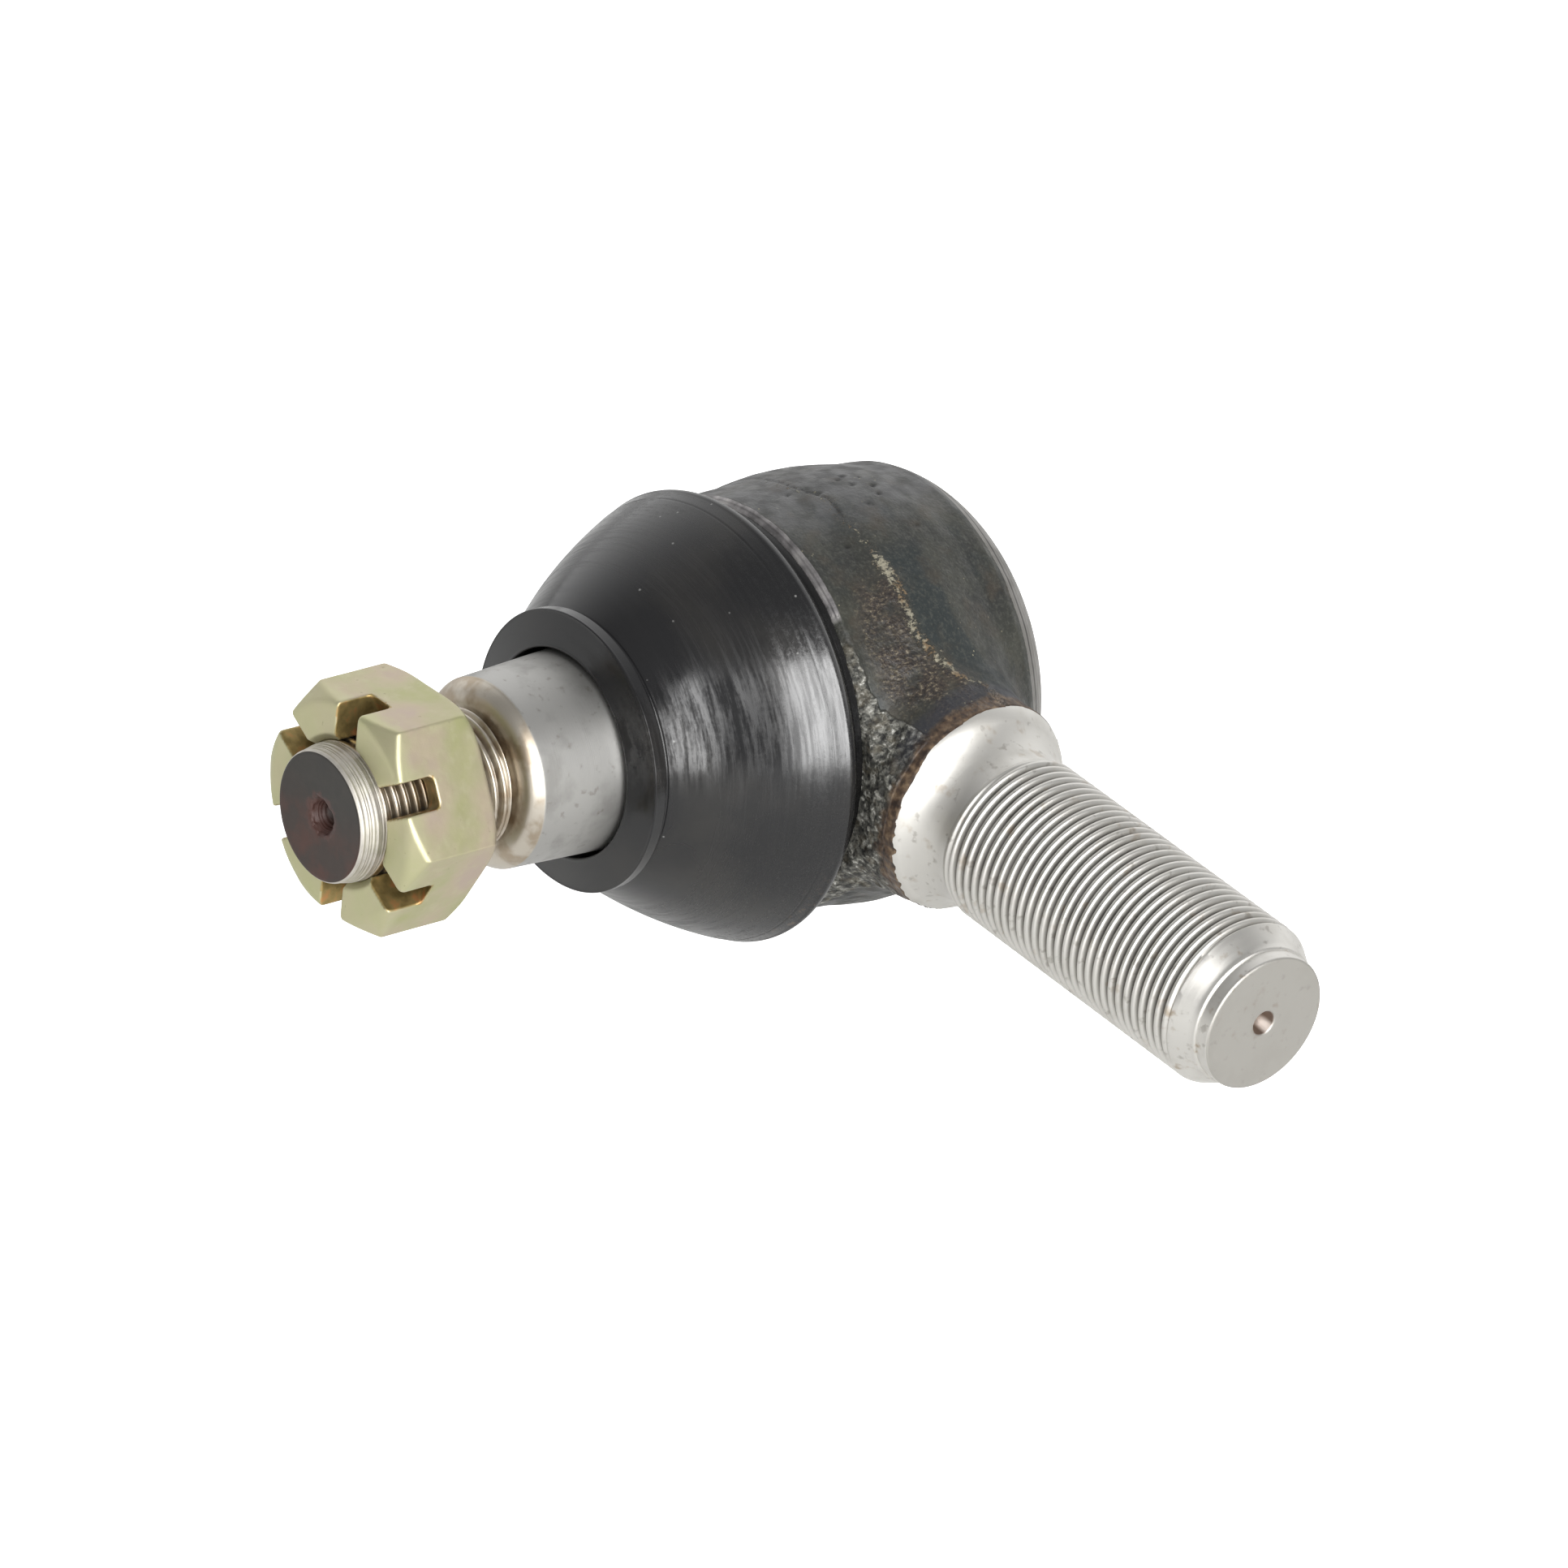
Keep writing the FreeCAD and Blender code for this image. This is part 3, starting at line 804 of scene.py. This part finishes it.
class Surface(Nodes):
    """A material being put together from nodes. Lengths are in millimetres."""

    def __init__(self, name):
        self.material = bpy.data.materials.new(name)
        self.material.use_nodes = True
        super().__init__(self.material.node_tree)
        self.shader = self.tree.nodes["Principled BSDF"]
        place = self.node("ShaderNodeTexCoord").outputs["Object"]
        self.place = self.spread(place, (1 / MM,) * 3)
        self.colour = None
        self.normal = None

    def spread(self, place, scale, shift=0.0):
        """A place times a scale along each axis, plus a shift along all."""
        inputs = {0: place, 1: scale, 2: (shift,) * 3}
        return self.node("ShaderNodeVectorMath", inputs, operation="MULTIPLY_ADD").outputs[0]

    def calc(self, operation, a, b=0.0, clamp=False):
        made = self.node("ShaderNodeMath", {0: a, 1: b}, operation=operation, use_clamp=clamp)
        return made.outputs[0]

    def times(self, value, *others):
        for other in others:
            value = self.calc("MULTIPLY", value, other)
        return value

    def plus(self, value, *others):
        for other in others:
            value = self.calc("ADD", value, other)
        return value

    def minus(self, a, b):
        return self.calc("SUBTRACT", a, b)

    def axis(self, letter):
        return self.node("ShaderNodeSeparateXYZ", {0: self.place}).outputs[letter]

    def height(self):
        return self.times(self.axis("Y"), -1.0)

    def round_the(self, letters):
        """Distance from an axis, given the two letters across it."""
        a, b = (self.axis(letter) for letter in letters)
        return self.calc("SQRT", self.plus(self.times(a, a), self.times(b, b)))

    def noise(self, size, detail=3.0, stretch=(1, 1, 1), rough=0.5, shift=0.0):
        place = self.spread(self.place, tuple(s / size for s in stretch), shift)
        inputs = {"Vector": place, "Scale": 1.0, "Detail": detail, "Roughness": rough}
        return self.node("ShaderNodeTexNoise", inputs).outputs["Fac"]

    def patches(self, size, start, end, high=1.0, low=0.0, **kind):
        """A share from low to high that comes and goes with noise of a size."""
        return self.ramp(self.noise(size, **kind), start, end, low, high)

    def rings(self, radius, per_mm):
        """Noise that depends on one length alone, as tool marks round an axis do."""
        inputs = {"W": radius, "Scale": per_mm, "Detail": 3.0}
        return self.node("ShaderNodeTexNoise", inputs, noise_dimensions="1D").outputs["Fac"]

    def cells(self, size, output, stretch=(1, 1, 1)):
        place = self.spread(self.place, tuple(s / size for s in stretch))
        inputs = {"Vector": place, "Scale": 1.0}
        return self.node("ShaderNodeTexVoronoi", inputs, feature="F1").outputs[output]

    def paint(self, name):
        return self.node("ShaderNodeAttribute", attribute_name=name).outputs["Fac"]

    def colours(self, value, *stops):
        made = self.node("ShaderNodeValToRGB", {0: value})
        elements = made.color_ramp.elements
        while len(elements) < len(stops):
            elements.new(1.0)
        for element, (position, colour) in zip(elements, stops):
            element.position = position
            element.color = srgb(colour)
        return made.outputs[0]

    def mix(self, share, a, b):
        inputs = {"Factor": share, 6: a, 7: b}
        return self.node("ShaderNodeMix", inputs, data_type="RGBA").outputs[2]

    def number(self, share, a, b):
        inputs = {"Factor": share, 2: a, 3: b}
        return self.node("ShaderNodeMix", inputs, data_type="FLOAT").outputs[0]

    def cover(self, share, colour):
        """Lays another colour over a share of the surface."""
        self.colour = self.mix(share, self.colour, colour)

    def bump(self, height, depth):
        """Adds a bump of a depth in millimetres to those before it."""
        inputs = {"Strength": 1.0, "Distance": depth * MM, "Height": height}
        if self.normal is not None:
            inputs["Normal"] = self.normal
        self.normal = self.node("ShaderNodeBump", inputs).outputs[0]

    def finish(self, rough, metal=0.0, spec=0.5):
        for name, value in (("Base Color", self.colour), ("Normal", self.normal),
                            ("Roughness", rough), ("Metallic", metal),
                            ("Specular IOR Level", spec)):
            self.link(value, self.shader.inputs[name])
        return self.material


def scale_colour(s):
    """Olive grey hammer scale with bluish, dusty and warm drifts, grain and dark dots."""
    s.colour = s.colours(s.noise(9.0, 4), (0.30, (31, 32, 31)), (0.5, (42, 43, 39)),
                         (0.70, (56, 56, 49)))
    bluish = s.patches(7.0, 0.52, 0.70, 0.5, shift=13)
    bluish = s.calc("MAXIMUM", bluish, s.times(s.paint("cool"), 0.85))
    s.cover(bluish, (30, 37, 38))
    grain = s.patches(0.7, 0.46, 0.66, 0.32, detail=4, rough=0.7, shift=51)
    s.cover(grain, (84, 84, 77))
    dots = s.patches(1.0, 0.60, 0.68, 0.6, detail=4, rough=0.7, shift=57)
    s.cover(dots, (22, 22, 21))
    powder = s.times(s.paint("dusty"), s.patches(4.5, 0.34, 0.62, 0.7, 0.2, detail=4, shift=43))
    s.cover(powder, (82, 82, 83))
    s.cover(s.patches(6.0, 0.50, 0.72, 0.35, shift=7), (66, 56, 44))


def brown_and_flash(s, brown, grit):
    """Speckled brown patch, pale specks and the parting line's broken flash, whose share
    it gives."""
    crumbs = s.noise(0.55, 4, stretch=(1, 0.6, 1), rough=0.7, shift=41)
    brown_tone = s.colours(crumbs, (0.40, (30, 25, 24)), (0.52, (52, 44, 39)),
                           (0.60, (84, 75, 62)), (0.72, (150, 141, 120)))
    s.cover(s.times(brown, 0.85), brown_tone)
    speck = s.ramp(s.cells(1.25, "Distance"), 0.17, 0.07)
    speck_zone = s.patches(7.0, 0.54, 0.70, detail=2, shift=3)
    s.cover(s.times(speck, speck_zone), (140, 134, 112))
    trail = s.paint("trail")
    broken = s.plus(s.times(grit, 0.4), s.times(crumbs, 0.6), s.times(trail, 0.17))
    flash = s.times(s.ramp(broken, 0.60, 0.70), s.ramp(trail, 0.04, 0.2))
    flash_tone = s.mix(s.patches(3.0, 0.46, 0.62, detail=2, shift=17),
                       (138, 133, 116), (116, 98, 74))
    s.cover(flash, flash_tone)
    return flash


def torn_flash(s, torn):
    """Torn wedge of dark cracks and bright facets, whose relief it gives."""
    fleck = s.noise(1.0, 5, stretch=(1, 0.55, 1), rough=0.72, shift=19)
    facets = s.cells(0.75, "Color", stretch=(1, 0.6, 1))
    fleck = s.plus(s.times(fleck, 0.8), s.times(facets, 0.2))
    tone = s.colours(fleck, (0.34, (24, 24, 24)), (0.46, (62, 62, 58)),
                     (0.58, (118, 117, 110)), (0.70, (205, 204, 198)))
    tone = s.mix(s.patches(2.2, 0.50, 0.66, 0.4, shift=61), tone, (84, 76, 60))
    s.cover(torn, tone)
    return fleck


def rust_band(s):
    """Heat tint and rust where the scale ends at the collar."""
    drift = s.times(s.minus(s.noise(3.0), 0.5), 3.0)
    wider = s.ramp(s.axis("Z"), 8.0, -4.0, 0.0, 1.4)
    past = s.plus(s.paint("edge"), drift, wider)
    tint = s.times(s.ramp(past, -7.0, -4.6), s.ramp(past, -2.2, -3.4),
                   s.ramp(s.axis("Z"), 7.0, 14.0), 0.6)
    s.cover(tint, (42, 43, 51))
    tone = s.colours(s.noise(1.3), (0.34, (44, 34, 29)), (0.52, (78, 62, 49)),
                     (0.70, (112, 94, 74)))
    s.cover(s.times(s.ramp(past, -3.6, -2.0), 0.9), tone)


def bare_colour(s, marks):
    """Bare metal: the machined front edge and the ring-marked, oily lip at the back."""
    tone = s.colours(s.noise(2.6, 4, shift=37), (0.34, (114, 112, 112)),
                     (0.50, (144, 141, 141)), (0.66, (168, 165, 163)))
    rolled = s.mix(marks, (116, 114, 110), (150, 147, 143))
    rolled = s.mix(s.patches(7.0, 0.46, 0.68, 0.6, shift=47), rolled, (96, 93, 88))
    tone = s.mix(s.ramp(s.axis("Y"), 19.0, 20.5), tone, rolled)
    wavy = s.times(s.noise(4.0, 2), 0.5)
    fold = s.calc("ABSOLUTE", s.plus(s.minus(s.axis("Y"), 22.2), wavy))
    return s.mix(s.ramp(fold, 0.35, 0.12, 0.0, 0.75), tone, (40, 38, 37))


def forged_material():
    """Black forging scale with its torn flash, rust, pits and bare metal."""
    s = Surface("forged_scale")
    grit = s.noise(0.8, rough=0.6, shift=23)
    brown = s.times(s.paint("brown"), s.patches(3.5, 0.36, 0.60, 1.0, 0.35, shift=29))
    scale_colour(s)
    flash = brown_and_flash(s, brown, grit)
    torn = s.ramp(s.paint("torn"), 0.25, 0.75)
    fleck = torn_flash(s, torn)
    rust_band(s)
    dark = s.calc("MAXIMUM", s.paint("pit"), s.paint("crease"), clamp=True)
    s.cover(s.times(dark, 0.92), (14, 13, 13))
    marks = s.rings(s.round_the("XZ"), 2.2)
    bare = s.ramp(s.paint("bare"), 0.3, 0.7)
    s.cover(bare, bare_colour(s, marks))
    skin = s.plus(s.times(s.noise(0.55), 0.5), s.noise(2.6, shift=5))
    s.bump(s.times(skin, s.minus(1.0, s.times(bare, 0.8))), 0.16)
    s.bump(s.times(marks, bare), 0.12)
    s.bump(s.times(fleck, s.calc("MAXIMUM", torn, flash)), 0.55)
    s.bump(s.times(grit, brown), 0.35)
    rough = s.number(s.patches(3.0, 0.35, 0.7, shift=9), 0.36, 0.55)
    rough = s.plus(rough, s.times(s.paint("cool"), 0.12))
    metal = s.calc("ADD", s.times(bare, 0.9), s.times(torn, 0.3), clamp=True)
    return s.finish(rough, metal, spec=0.36)


def turned_steel(name, stretch, base, dark, rough):
    """Lathe-turned steel with fine rings: the surface and its roughness."""
    s = Surface(name)
    s.colour = base
    rings = s.noise(2.0, 2, stretch=stretch)
    smudge = s.patches(6.0, 0.46, 0.72, detail=4, shift=4)
    spots = s.patches(1.9, 0.60, 0.72, detail=4, shift=14)
    s.cover(s.times(smudge, 0.4), dark)
    s.cover(s.times(spots, 0.35), (104, 94, 82))
    roughness = s.number(rings, rough - 0.05, rough + 0.07)
    roughness = s.plus(roughness, s.times(smudge, 0.06))
    s.bump(rings, 0.010)
    s.bump(s.noise(3.0, shift=2), 0.03)
    return s, roughness


def shank_material():
    """Bright turned steel: dirt and painted shade in the thread grooves, stains, a duller end and a
    painted reflection in the centre hole.
    """
    s, rough = turned_steel("bright_shank", (14, 0.12, 0.12), (208, 206, 201),
                            (184, 181, 174), 0.39)
    x, radius = s.axis("X"), s.round_the("YZ")
    start, end = SHANK_THREAD
    in_thread = s.times(s.ramp(x, start - 0.2, start + 1.4), s.ramp(x, end, end - 0.8))
    depth = s.ramp(s.minus(SHANK_R - 0.2, radius), 0.1, 0.9)
    # Dirt and painted shade darken the thread grooves.
    grime_and_shade = s.times(depth, in_thread, s.patches(9.0, 0.3, 0.7, 1.0, 0.7, shift=6))
    s.cover(s.times(grime_and_shade, 0.9), (64, 60, 55))
    stain = s.times(s.patches(3.4, 0.60, 0.74, shift=21), s.ramp(x, 112.0, 115.0, 0.35, 0.75))
    s.cover(stain, (150, 128, 98))
    rough = s.plus(rough, s.times(grime_and_shade, 0.15), s.ramp(x, 55.0, 52.0, 0.0, 0.09))
    face = s.ramp(x, SHANK_END - 0.25, SHANK_END - 0.1)
    rough = s.number(face, rough, 0.5)
    s.cover(s.times(face, 0.75), (160, 157, 151))
    hole = s.times(s.ramp(radius, 2.3, 2.1), s.ramp(x, 116, 117))
    rough = s.number(hole, rough, 0.55)
    # Painted reflection in the centre hole: a bright band across it, its walls darker to either
    # side.
    across = s.calc("ABSOLUTE", s.plus(s.axis("Y"), s.axis("Z")))
    hole_painted_reflection = s.mix(s.ramp(across, 0.7, 1.9), (212, 202, 194), (126, 112, 102))
    s.cover(hole, hole_painted_reflection)
    return s.finish(rough, metal=1.0)


def stud_end_colour(s, radius):
    """Dark scale on the stud's end face, reddish below and round the centre hole."""
    scale = s.mix(s.noise(3.0, 4), (49, 45, 39), (26, 24, 22))
    lower = s.times(s.ramp(s.axis("Z"), 6.0, -7.0),
                    s.patches(5.0, 0.36, 0.60, 1.0, 0.3, shift=16), 0.8)
    scale = s.mix(lower, scale, (70, 40, 31))
    ragged = s.plus(radius, s.times(s.noise(1.5), 3.4))
    red = s.times(s.ramp(ragged, 6.2, 5.0), s.ramp(radius, 1.2, 2.4), 0.85)
    return s.mix(red, scale, (72, 46, 40))


def stud_material():
    """Ground taper, tarnished thread, pale land and a dark, scaly end face."""
    s, rough = turned_steel("stud_steel", (0.12, 14, 0.12), (174, 173, 170),
                            (118, 116, 112), 0.46)
    height, radius = s.height(), s.round_the("XZ")
    cut = s.ramp(height, 69.1, 69.5)
    s.cover(cut, (196, 189, 177))
    tarnish = s.times(cut, s.patches(4.0, 0.42, 0.66, 0.6, shift=26))
    s.cover(tarnish, (146, 126, 100))
    rough = s.number(cut, rough, 0.34)
    # Dirt and painted shade darken the thread roots.
    depth = s.times(s.ramp(radius, STUD_R - 0.2, STUD_R - 1.0), s.ramp(height, 98.9, 98.2))
    s.cover(s.times(depth, cut, 0.28), (88, 80, 70))
    face = s.times(s.ramp(radius, 11.15, 11.05), s.ramp(height, STUD_END - 6, STUD_END - 5))
    s.cover(face, stud_end_colour(s, radius))
    land = s.ramp(height, 98.6, 99.0)
    land_tone = s.mix(s.noise(1.6, shift=33), (172, 168, 160), (212, 208, 200))
    s.cover(s.times(land, s.minus(1.0, face)), land_tone)
    rough = s.number(face, s.number(land, rough, 0.56), 0.5)
    s.bump(s.times(s.rings(height, 1.6), land), 0.22)
    return s.finish(rough, metal=s.number(face, 1.0, 0.1))


def zinc_material():
    """Yellow passivated zinc: khaki, with pink and green drifts, amber slots and painted highlights
    along its sharp edges.
    """
    s = Surface("yellow_zinc")
    s.colour = s.colours(s.noise(10.0), (0.32, (168, 168, 124)), (0.46, (176, 171, 138)),
                         (0.58, (182, 170, 146)), (0.72, (180, 164, 150)))
    s.cover(s.ramp(s.height(), 95.5, 98.0, 0.0, 0.6), (186, 186, 146))
    s.cover(s.patches(2.2, 0.52, 0.74, 0.45, shift=8), (186, 182, 150))
    slot_tone = s.colours(s.noise(2.4, shift=4), (0.35, (130, 114, 70)),
                          (0.55, (162, 142, 92)), (0.72, (196, 142, 92)))
    s.cover(s.paint("slot"), slot_tone)
    # Painted highlight: paler along the sharp edges of flats, chamfers and slots.
    sharpness = s.node("ShaderNodeNewGeometry").outputs["Pointiness"]
    s.cover(s.ramp(sharpness, 0.53, 0.60, 0.0, 0.55), (214, 208, 182))
    s.cover(s.patches(1.1, 0.68, 0.80, 0.4, shift=31), (92, 74, 56))
    s.bump(s.noise(1.4, 4), 0.03)
    return s.finish(s.number(s.noise(2.0), 0.38, 0.50), metal=0.8)


def rubber_colour(s, height):
    """Black rubber with dust, lint, and dirt along the underside of the rim."""
    dust = s.patches(16.0, 0.42, 0.72, detail=4, shift=3)
    s.colour = s.mix(dust, (27, 27, 28), (37, 36, 35))
    lint = s.ramp(s.cells(5.2, "Distance"), 0.055, 0.02)
    s.cover(s.times(lint, 0.6), (140, 140, 138))
    underside = s.times(s.ramp(height, 27.0, 22.5), s.ramp(s.axis("Z"), -8.0, -24.0))
    dirt = s.times(underside, s.patches(1.2, 0.54, 0.72, 0.7, detail=4, shift=17))
    s.cover(dirt, (84, 70, 57))


def rubber_material():
    """Black moulded rubber: polished near the flange, mottled and wiped near the rim, with painted
    shade under the rim.
    """
    s = Surface("boot_rubber")
    height = s.height()
    streaks = s.noise(1.0, stretch=(0.09, 1.6, 0.09), rough=0.6)
    mottle = s.noise(0.8, 4, rough=0.7, shift=5)
    low_zone = s.ramp(height, 34.0, 27.0)
    middle = s.times(s.ramp(height, 29.5, 33.5), s.ramp(height, 44.5, 40.0))
    rough = s.number(s.ramp(streaks, 0.40, 0.62), 0.13, 0.24)
    rough = s.plus(rough, s.times(low_zone, s.ramp(mottle, 0.40, 0.66), 0.14))
    rough = s.plus(rough, s.times(middle, 0.08))
    wipes = s.noise(1.5, 4, stretch=(0.12, 1.5, 0.12), rough=0.65, shift=11)
    gloss = s.ramp(s.plus(wipes, s.times(mottle, 0.25)), 0.50, 0.76, 0.12, 0.72)
    gloss = s.plus(s.times(gloss, s.number(middle, 1.0, 0.42)), s.times(low_zone, 0.78))
    angle = s.calc("ARCTAN2", s.axis("Z"), s.axis("X"))
    handled = s.times(s.ramp(angle, 0.08, 0.40), s.ramp(angle, 1.05, 0.75))
    # Painted shade under the rim: there the rubber is near black and almost without gloss.
    under = s.ramp(height, 21.2, 20.2, 0.0, 0.6)
    gloss = s.number(under, s.number(handled, 0.42, gloss), 0.08)
    rubber_colour(s, height)
    # Painted shade under the rim.
    s.cover(under, (9, 9, 9))
    s.bump(streaks, 0.008)
    s.bump(s.times(mottle, low_zone), 0.012)
    return s.finish(rough, spec=gloss)


def cap_material():
    """Pressed steel with turned rings and a little rust."""
    s = Surface("pressed_cap")
    tone = s.noise(6.0, 4)
    s.colour = s.colours(tone, (0.3, (96, 94, 88)), (0.7, (140, 138, 132)))
    rust = s.patches(3.0, 0.60, 0.78, detail=4, shift=6)
    s.cover(s.times(rust, 0.5), (104, 76, 54))
    s.bump(s.rings(s.round_the("XZ"), 3.0), 0.03)
    s.bump(s.noise(1.2), 0.03)
    return s.finish(s.number(tone, 0.32, 0.5), metal=0.85)


def plain_material(name, light, dark, sizes, rough, metal):
    """A nearly even surface. sizes are those of its drifts in colour, gloss and relief."""
    s = Surface(name)
    s.colour = s.mix(s.noise(sizes[0]), light, dark)
    s.bump(s.noise(sizes[2], 2), 0.01)
    return s.finish(s.number(s.noise(sizes[1], 2), *rough), metal)


def wire_material(name, light, dark):
    return plain_material(name, light, dark, (3.0, 1.5, 0.8), (0.26, 0.4), 1.0)


def floor_material():
    """Pale matte sheet; seen directly it glows, so that it stays nearly white."""
    s = Surface("pale_floor")
    s.colour = s.mix(s.noise(60.0), (238, 238, 237), (243, 243, 242))
    seen = s.node("ShaderNodeLightPath").outputs["Is Camera Ray"]
    s.link(WHITE, s.shader.inputs["Emission Color"])
    s.link(s.times(seen, 0.9), s.shader.inputs["Emission Strength"])
    s.bump(s.noise(1.0, 2), 0.01)
    return s.finish(0.9, spec=0.1)


# ---------------- assembly

def dress(obj, material):
    obj.data.materials.clear()
    obj.data.materials.append(material)


rubber = rubber_material()
RIDING = (
    (socket_forging, forged_material, "housing", "socket_housing", "forged_steel"),
    (machined_shank, shank_material, "housing", "socket_housing", "forged_steel"),
    (closing_cap, cap_material, "housing", "end_cap", "cap_steel"),
    (tapered_stud, stud_material, "stud", "ball_stud", "turned_steel"),
    (slotted_nut, zinc_material, "stud", "castle_nut", "yellow_zinc"),
)
for make, material, body, node, slot in RIDING:
    piece = make()
    dress(piece, material())
    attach(piece, body)
    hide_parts(node)

# The boot's two halves meet at the seam; both stay where they are built, on no body.
BENDING = (
    ("boot_lower", False, "housing", "boot", BEND_START, SEAM),
    ("boot_upper", True, "boot", "boot_neck", SEAM, BEND_END),
)
for name, upper, held, moved, start, end in BENDING:
    piece = boot_piece(name, upper)
    dress(piece, rubber)
    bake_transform(piece)
    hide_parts("dust_boot")

plastic = plain_material("seat_acetal", (226, 222, 208), (212, 206, 188), (8.0, 2.0, 0.6),
                         (0.38, 0.5), 0.0)
spring_steel = wire_material("spring_steel", (96, 96, 98), (60, 60, 64))
ring_steel = wire_material("ring_steel", (150, 148, 144), (110, 108, 104))
for node, material in (("upper_ball_seat", plastic), ("lower_ball_seat", plastic),
                       ("preload_spring", spring_steel), ("boot_base_ring", ring_steel),
                       ("boot_neck_ring", ring_steel)):
    dress(frame["nodes"][node], material)


# ---------------- studio

FLOOR_DROP = 18.0
VIEW_AZIMUTH, VIEW_ELEVATION, VIEW_LEAN = 47.45, 29.25, 8.85
VIEW_DISTANCE, VIEW_ASIDE, VIEW_ABOVE = 2.1523, -0.00412, -0.01664
VIEW_LENS, VIEW_SENSOR = 291.06, 36.0


def toward(azimuth, elevation):
    """Unit vector from the object to a place round it and above it, in degrees."""
    a, e = math.radians(azimuth), math.radians(elevation)
    return Vector((math.sin(a) * math.cos(e), -math.cos(a) * math.cos(e), math.sin(e)))


def floor():
    """A wide pale floor, low enough to leave the stud room to swing down."""
    size, count = 12.0, 24
    mesh = bpy.data.meshes.new("studio_floor")
    grid = bmesh.new()
    bmesh.ops.create_grid(grid, x_segments=count, y_segments=count, size=size / 2)
    grid.to_mesh(mesh)
    grid.free()
    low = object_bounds()[0].z
    obj = add_object("studio_floor", mesh)
    obj.location.z = low - FLOOR_DROP * MM
    dress(obj, floor_material())
    obj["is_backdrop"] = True


def window_light(name, azimuth, elevation, distance, width, height, power):
    """A rectangular light that faces the object."""
    away = toward(azimuth, elevation)
    data = bpy.data.lights.new(name, "AREA")
    data.shape = "RECTANGLE"
    data.size, data.size_y = width, height
    data.energy = power
    obj = add_object(name, data)
    obj.location = away * distance
    obj.rotation_mode = "QUATERNION"
    obj.rotation_quaternion = (-away).to_track_quat("-Z", "Y")


def sky():
    """Dim overhead and behind the camera, white beyond the object, white to the camera."""
    world = bpy.data.worlds.new("studio")
    bpy.context.scene.world = world
    world.use_nodes = True
    nodes = Nodes(world.node_tree)
    azimuth = math.radians(VIEW_AZIMUTH)
    beyond = (-math.sin(azimuth), math.cos(azimuth), -0.25)
    ray = nodes.node("ShaderNodeTexCoord").outputs["Generated"]
    ahead = nodes.node("ShaderNodeVectorMath", {0: ray, 1: beyond}, operation="DOT_PRODUCT")
    lit = nodes.tree.nodes["Background"]
    nodes.link(WHITE, lit.inputs["Color"])
    nodes.link(nodes.ramp(ahead.outputs["Value"], -0.15, 0.75, 0.32, 1.30),
               lit.inputs["Strength"])
    seen = nodes.node("ShaderNodeBackground", {"Color": WHITE})
    direct = nodes.node("ShaderNodeLightPath").outputs["Is Camera Ray"]
    both = nodes.node("ShaderNodeMixShader", {0: direct, 1: lit.outputs[0], 2: seen.outputs[0]})
    nodes.link(both.outputs[0], nodes.tree.nodes["World Output"].inputs[0])


def camera():
    """A long lens, leaning a little to its side."""
    back = toward(VIEW_AZIMUTH, VIEW_ELEVATION)
    lean = Quaternion((0, 0, 1), math.radians(VIEW_LEAN))
    axes = (back.to_track_quat("Z", "Y") @ lean).to_matrix()
    data = bpy.data.cameras.new("camera")
    data.lens, data.sensor_width = VIEW_LENS, VIEW_SENSOR
    obj = add_object("camera", data)
    obj.matrix_world = axes.to_4x4()
    obj.matrix_world.translation = axes @ Vector((VIEW_ASIDE, VIEW_ABOVE, VIEW_DISTANCE))
    bpy.context.scene.camera = obj


floor()
sky()
window_light("window_near", 49, 24, 2.7, 1.15, 2.6, 58)
window_light("window_far", 84, 24, 2.7, 1.6, 2.6, 66)
camera()
bpy.context.scene.view_settings.view_transform = "Standard"
